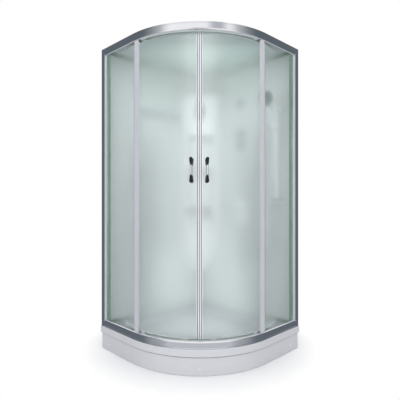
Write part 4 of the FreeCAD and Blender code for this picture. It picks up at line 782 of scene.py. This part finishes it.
def nozzle_rings(middle, facing, rings, height):
    """Small blunt cones in rings on a round face; each ring is (radius, how many)."""
    facing = facing.normalized()
    across = Vector((1, 0, 0))
    up = facing.cross(across)
    cone = [(-0.0004, 0.0017), (height * 0.6, 0.0013), (height * 0.9, 0.0010), (height, 0.0006)]
    forms = []
    for radius, count in rings:
        for index in range(count):
            turn = 2 * math.pi * index / count
            foot = middle + radius * (across * math.cos(turn) + up * math.sin(turn))
            forms.append(turned_form(cone, foot, facing, 10))
    return forms


head_middle, head_lean = Vector((0.316, 0.2717, 1.5948)), math.radians(16)
head_facing = Vector((0, -math.cos(head_lean), -math.sin(head_lean)))
head_rings = ((0.0, 1), (0.008, 6), (0.016, 12), (0.024, 18), (0.032, 24))
head_forms = nozzle_rings(head_middle, head_facing, head_rings, 0.0020)
head_nozzles = add_piece("hand_shower_nozzles", *put_together(head_forms), "handset", nozzle_rubber)
jet_across, jet_face, jet_heights = -0.008, 0.4125, (1.343, 1.422, 1.643)
jet_rings = ((0.0, 1), (0.009, 6), (0.018, 12))
jet_forms = []
for height in jet_heights:
    jet_middle = Vector((jet_across, jet_face, height))
    jet_forms += nozzle_rings(jet_middle, Vector((0, -1, 0)), jet_rings, 0.0022)
jet_nozzles = add_piece("body_jet_nozzles", *put_together(jet_forms), "enclosure", nozzle_rubber)
print(len(head_forms), "nozzles on the hand shower,", len(jet_forms), "on the jets")

# %% [markdown]
# Low ribs stiffen the drain's cover and lead the water to its rim. They are thin turned forms
# that lie flat and point outwards, so that one loop over the angle makes them all.

# %% Ribs on the drain's cover
drain_middle = Vector((0.082, 0.318, 0.1091))
rib_count, rib_start = 16, 0.018
rib_outline = [(0, 0.0004), (0.0008, 0.0012), (0.0256, 0.0014), (0.0264, 0.0005)]
rib_forms = []
for index in range(rib_count):
    turn = 2 * math.pi * index / rib_count
    outwards = Vector((math.cos(turn), math.sin(turn), 0))
    rib_forms.append(turned_form(rib_outline, drain_middle + outwards * rib_start, outwards, 10))
drain_ribs = add_piece("drain_cover_ribs", *put_together(rib_forms), "drain_cover", finishes["chrome"])
print(len(rib_forms), "ribs on the drain's cover")

# %% [markdown]
# Flat studs on the tray floor keep wet feet from slipping. They stand in staggered rows, like
# the holes of a honeycomb, and the loop leaves out those beyond the flat floor or near the drain.

# %% Studs on the tray floor
floor_middle = Vector((-0.03, 0.03, 0.102))
stud_spacing, studs_each_way = 0.036, 9
flat_floor_reach, drain_clearance = 0.27, 0.075
stud_profile = [(-0.0003, 0.0045), (0.0004, 0.0042), (0.0009, 0.0032), (0.0011, 0.0016)]
drain_on_floor = Vector((drain_middle.x, drain_middle.y, floor_middle.z))
stud_forms = []
for row in range(-studs_each_way, studs_each_way + 1):
    for column in range(-studs_each_way, studs_each_way + 1):
        place = floor_middle + stud_spacing * Vector((column + 0.5 * (row % 2),
                                                      row * math.sin(math.radians(60)), 0))
        if ((place - floor_middle).length < flat_floor_reach
                and (place - drain_on_floor).length > drain_clearance):
            stud_forms.append(turned_form(stud_profile, place, Vector((0, 0, 1)), 12))
tray_studs = add_piece("tray_grip_studs", *put_together(stud_forms), "enclosure",
                       finishes["white_acrylic"])
print(len(stud_forms), "studs on the tray floor")

# %% [markdown]
# ## The studio
# The photograph has a white background, soft light from the front and dark flanks, which is
# what draws the long dark bands in the chrome. The world is white only for rays that look at
# it directly, in a mirror or through glass. The even light on the part comes from a weaker,
# slightly cool sky.

# %% The world
bpy.context.scene.view_settings.view_transform = "Standard"
world = bpy.data.worlds.new("soft_studio")
bpy.context.scene.world = world
world.use_nodes = True
sky = world.node_tree
seen = sky.nodes["Background"]
seen.inputs["Color"].default_value = (1, 1, 1, 1)
seen.inputs["Strength"].default_value = 1.0
lighting = sky.nodes.new("ShaderNodeBackground")
lighting.inputs["Color"].default_value = (0.93, 0.96, 1.0, 1)
lighting.inputs["Strength"].default_value = 0.70
rays = sky.nodes.new("ShaderNodeLightPath")
looked_at = reckon(sky, "MAXIMUM", rays.outputs["Is Camera Ray"], rays.outputs["Is Glossy Ray"])
looked_through = reckon(sky, "MAXIMUM", looked_at, rays.outputs["Is Transmission Ray"])
chosen = sky.nodes.new("ShaderNodeMixShader")
sky.links.new(looked_through, chosen.inputs["Fac"])
sky.links.new(lighting.outputs[0], chosen.inputs[1])
sky.links.new(seen.outputs[0], chosen.inputs[2])
sky.links.new(chosen.outputs[0], sky.nodes["World Output"].inputs["Surface"])
print("the sky lights the part at", round(lighting.inputs["Strength"].default_value, 2))

# %% [markdown]
# ### Lamps
# One broad lamp stands above the camera, and one on each side fills the walls. Frosted glass
# keeps much of their light out, so small soft lamps inside the cabin stand for the daylight that
# bounces about in it. A narrow one beside the riser grazes the wall and draws the bar and the
# hose as the pale line in the photograph. The camera sees none of the lamps directly, and those
# inside don't show through the glass either.

# %% Lamps
def soft_lamp(name, place, aim_at, width, height, power, colour=(1, 1, 1)):
    """A soft lamp of this width and height that the camera doesn't see."""
    lamp = bpy.data.lights.new(name, "AREA")
    lamp.shape = "RECTANGLE"
    lamp.size = width
    lamp.size_y = height
    lamp.energy = power
    lamp.color = colour
    holder = bpy.data.objects.new(name, lamp)
    holder.location = place
    holder.rotation_euler = (Vector(aim_at) - Vector(place)).to_track_quat("-Z", "Y").to_euler()
    holder.visible_camera = False
    holder.visible_glossy = False
    bpy.context.scene.collection.objects.link(holder)
    return holder


soft_lamp("front_lamp", (2.3, -2.3, 3.0), (0, 0, 0.9), 2.4, 2.4, 60)
soft_lamp("left_lamp", (-2.0, -3.0, 1.6), (0, 0, 1.0), 1.8, 1.8, 3)
soft_lamp("right_lamp", (3.0, 2.0, 1.6), (0, 0, 1.0), 1.8, 1.8, 3)
greenish = (0.93, 1.0, 0.97)
inside_lamps = [
    soft_lamp("cabin_lamp", (0.10, -0.10, 1.0), (-0.42, 0.42, 1.0), 0.30, 1.0, 0.46),
    soft_lamp("upper_cabin_lamp", (0.08, -0.08, 1.62), (-0.42, 0.42, 1.60), 0.62, 0.25, 1.05, greenish),
    soft_lamp("lower_cabin_lamp", (0.0, 0.0, 0.36), (-0.42, 0.42, 0.12), 0.3, 0.2, 0.68, greenish),
    soft_lamp("riser_lamp", (0.418, 0.335, 1.08), (0.30, 0.345, 1.08), 0.04, 0.96, 0.24),
]
for lamp in inside_lamps:
    lamp.visible_transmission = False
print("three lamps outside the cabin and", len(inside_lamps), "inside")

# %% [markdown]
# ### The floor
# The floor is a pale disc. Near the cabin it is a plain surface that takes the shadow, and
# farther out it fades into a glow that is as white as the background, so no edge shows.

# %% The floor
floor_radius, shadow_reach, white_from = 4.5, 0.56, 0.76


def pale_floor():
    """A disc whose middle takes the shadow and whose rim is as white as the background."""
    rim = [(floor_radius * math.cos(math.radians(a)), floor_radius * math.sin(math.radians(a)), 0)
           for a in range(0, 360, 5)]
    mesh = bpy.data.meshes.new("studio_floor")
    mesh.from_pydata(rim, [], [tuple(range(len(rim)))])
    disc = bpy.data.objects.new("studio_floor", mesh)
    bpy.context.scene.collection.objects.link(disc)
    finish, tree, shader = new_finish("studio_floor", (0.96, 0.96, 0.96), 0.9)
    shader.inputs["Specular IOR Level"].default_value = 0.0
    where = tree.nodes.new("ShaderNodeTexCoord")
    far = tree.nodes.new("ShaderNodeVectorMath")
    far.operation = "DISTANCE"
    far.inputs[1].default_value = arc_middle
    tree.links.new(where.outputs["Object"], far.inputs[0])
    fade = between(tree, far.outputs["Value"], 0, 1, shadow_reach, white_from)
    white = tree.nodes.new("ShaderNodeEmission")
    white.inputs["Strength"].default_value = 1.0
    both = tree.nodes.new("ShaderNodeMixShader")
    tree.links.new(fade, both.inputs["Fac"])
    tree.links.new(shader.outputs[0], both.inputs[1])
    tree.links.new(white.outputs[0], both.inputs[2])
    tree.links.new(both.outputs[0], tree.nodes["Material Output"].inputs["Surface"])
    disc.data.materials.append(finish)
    disc.visible_glossy = False


pale_floor()
print("floor radius", floor_radius, "m")

# %% [markdown]
# ### Dark and grey cards
# Chrome shows what stands round it. The long dark bands on the rails in the photograph mirror
# what a photographer calls flags: dark cards at the sides of the set. Here only mirrored rays
# meet them, so they cast no shadow and change no other light. Each card fades out along its
# width, which makes the bands' soft ends.

# %% A finish for cards that fade out
def card_finish(name, tone, stops):
    """A glow of one tone; its (place, solid) stops say how solid the card is along its width."""
    finish = bpy.data.materials.new(name)
    finish.use_nodes = True
    tree = finish.node_tree
    tree.nodes.remove(tree.nodes["Principled BSDF"])
    glow = tree.nodes.new("ShaderNodeEmission")
    glow.inputs["Color"].default_value = (*tone, 1)
    clear = tree.nodes.new("ShaderNodeBsdfTransparent")
    where = tree.nodes.new("ShaderNodeUVMap")
    split = tree.nodes.new("ShaderNodeSeparateXYZ")
    tree.links.new(where.outputs["UV"], split.inputs[0])
    ramp = tree.nodes.new("ShaderNodeValToRGB")
    tree.links.new(split.outputs["X"], ramp.inputs["Fac"])
    while len(ramp.color_ramp.elements) < len(stops):
        ramp.color_ramp.elements.new(0.5)
    for element, (place, solid) in zip(ramp.color_ramp.elements, stops):
        element.position = place
        element.color = (solid, solid, solid, 1)
    both = tree.nodes.new("ShaderNodeMixShader")
    tree.links.new(ramp.outputs["Color"], both.inputs["Fac"])
    tree.links.new(clear.outputs[0], both.inputs[1])
    tree.links.new(glow.outputs[0], both.inputs[2])
    tree.links.new(both.outputs[0], tree.nodes["Material Output"].inputs["Surface"])
    return finish


# %% [markdown]
# A card is one face. Its map across the width tells the finish where to fade, and its
# visibility settings hide it from every ray but the mirrored ones.

# %% Cards and flags
flag_distance = 3


def card(name, corners, finish):
    """A flat card that only mirrored rays meet."""
    mesh = bpy.data.meshes.new(name)
    mesh.from_pydata(corners, [], [(0, 1, 2, 3)])
    mesh.uv_layers.new(name="across")
    for loop, place in zip(mesh.uv_layers["across"].data, ((0, 0), (1, 0), (1, 1), (0, 1))):
        loop.uv = place
    mesh.materials.append(finish)
    sheet = bpy.data.objects.new(name, mesh)
    bpy.context.scene.collection.objects.link(sheet)
    for sort in ("camera", "diffuse", "transmission", "volume_scatter", "shadow"):
        setattr(sheet, "visible_" + sort, False)


def flag(name, angle, reaches, heights, finish, side=1):
    """An upright card that stands off the cabin at this angle; its reaches run across it."""
    heading = Vector((math.cos(math.radians(angle)), math.sin(math.radians(angle)), 0))
    across = Vector((-heading.y, heading.x, 0)) * side
    (near, far), (foot, head) = reaches, heights
    card(name, [heading * flag_distance + across * reach + Vector((0, 0, height))
                for reach, height in ((near, foot), (far, foot), (far, head), (near, head))], finish)


# %% [markdown]
# Two slate flags stand to the left and the right, and each has a foot that fades sooner, because
# the lower rail's bands are softer in the photograph than the upper one's. A softer grey flag
# hangs high between them, and a grey ground dims what the undersides mirror.

# %% Set up the cards
slate = (0.122, 0.142, 0.164)
slate_card = card_finish("slate_card", slate, [
    (0.0, 0.0), (0.15, 1.0), (0.476, 1.0), (0.602, 0.85), (0.786, 0.55), (0.891, 0.2), (1.0, 0.0)])
low_slate_card = card_finish("low_slate_card", slate, [
    (0.0, 0.0), (0.15, 1.0), (0.476, 0.95), (0.602, 0.58), (0.786, 0.40), (0.92, 0.27), (1.0, 0.0)])
soft_card = card_finish("soft_grey_card", (0.51, 0.52, 0.56), [
    (0.0, 0.0), (0.35, 1.0), (0.65, 1.0), (1.0, 0.0)])
for name, angle, side in (("left_flag", 230.0, 1), ("right_flag", 39.2, -1)):
    flag(name, angle, (-1.95, 3.2), (-0.2, 6), slate_card, side)
    flag(name + "_foot", angle, (-1.95, 3.2), (-3, -0.2), low_slate_card, side)
flag("soft_flag", 337, (-0.75, 0.75), (2.2, 5), soft_card)

ground_finish, ground_shader = new_finish("grey_ground_card", (0, 0, 0), 1.0)[::2]
ground_shader.inputs["Specular IOR Level"].default_value = 0
ground_shader.inputs["Emission Color"].default_value = (0.57, 0.58, 0.61, 1)
ground_shader.inputs["Emission Strength"].default_value = 1
ground_height, ground_reach = -1.2, 9
card("grey_ground", [(x * ground_reach, y * ground_reach, ground_height)
                     for x, y in ((-1, -1), (1, -1), (1, 1), (-1, 1))], ground_finish)
print("two slate flags with paler feet, a soft flag and a grey ground")
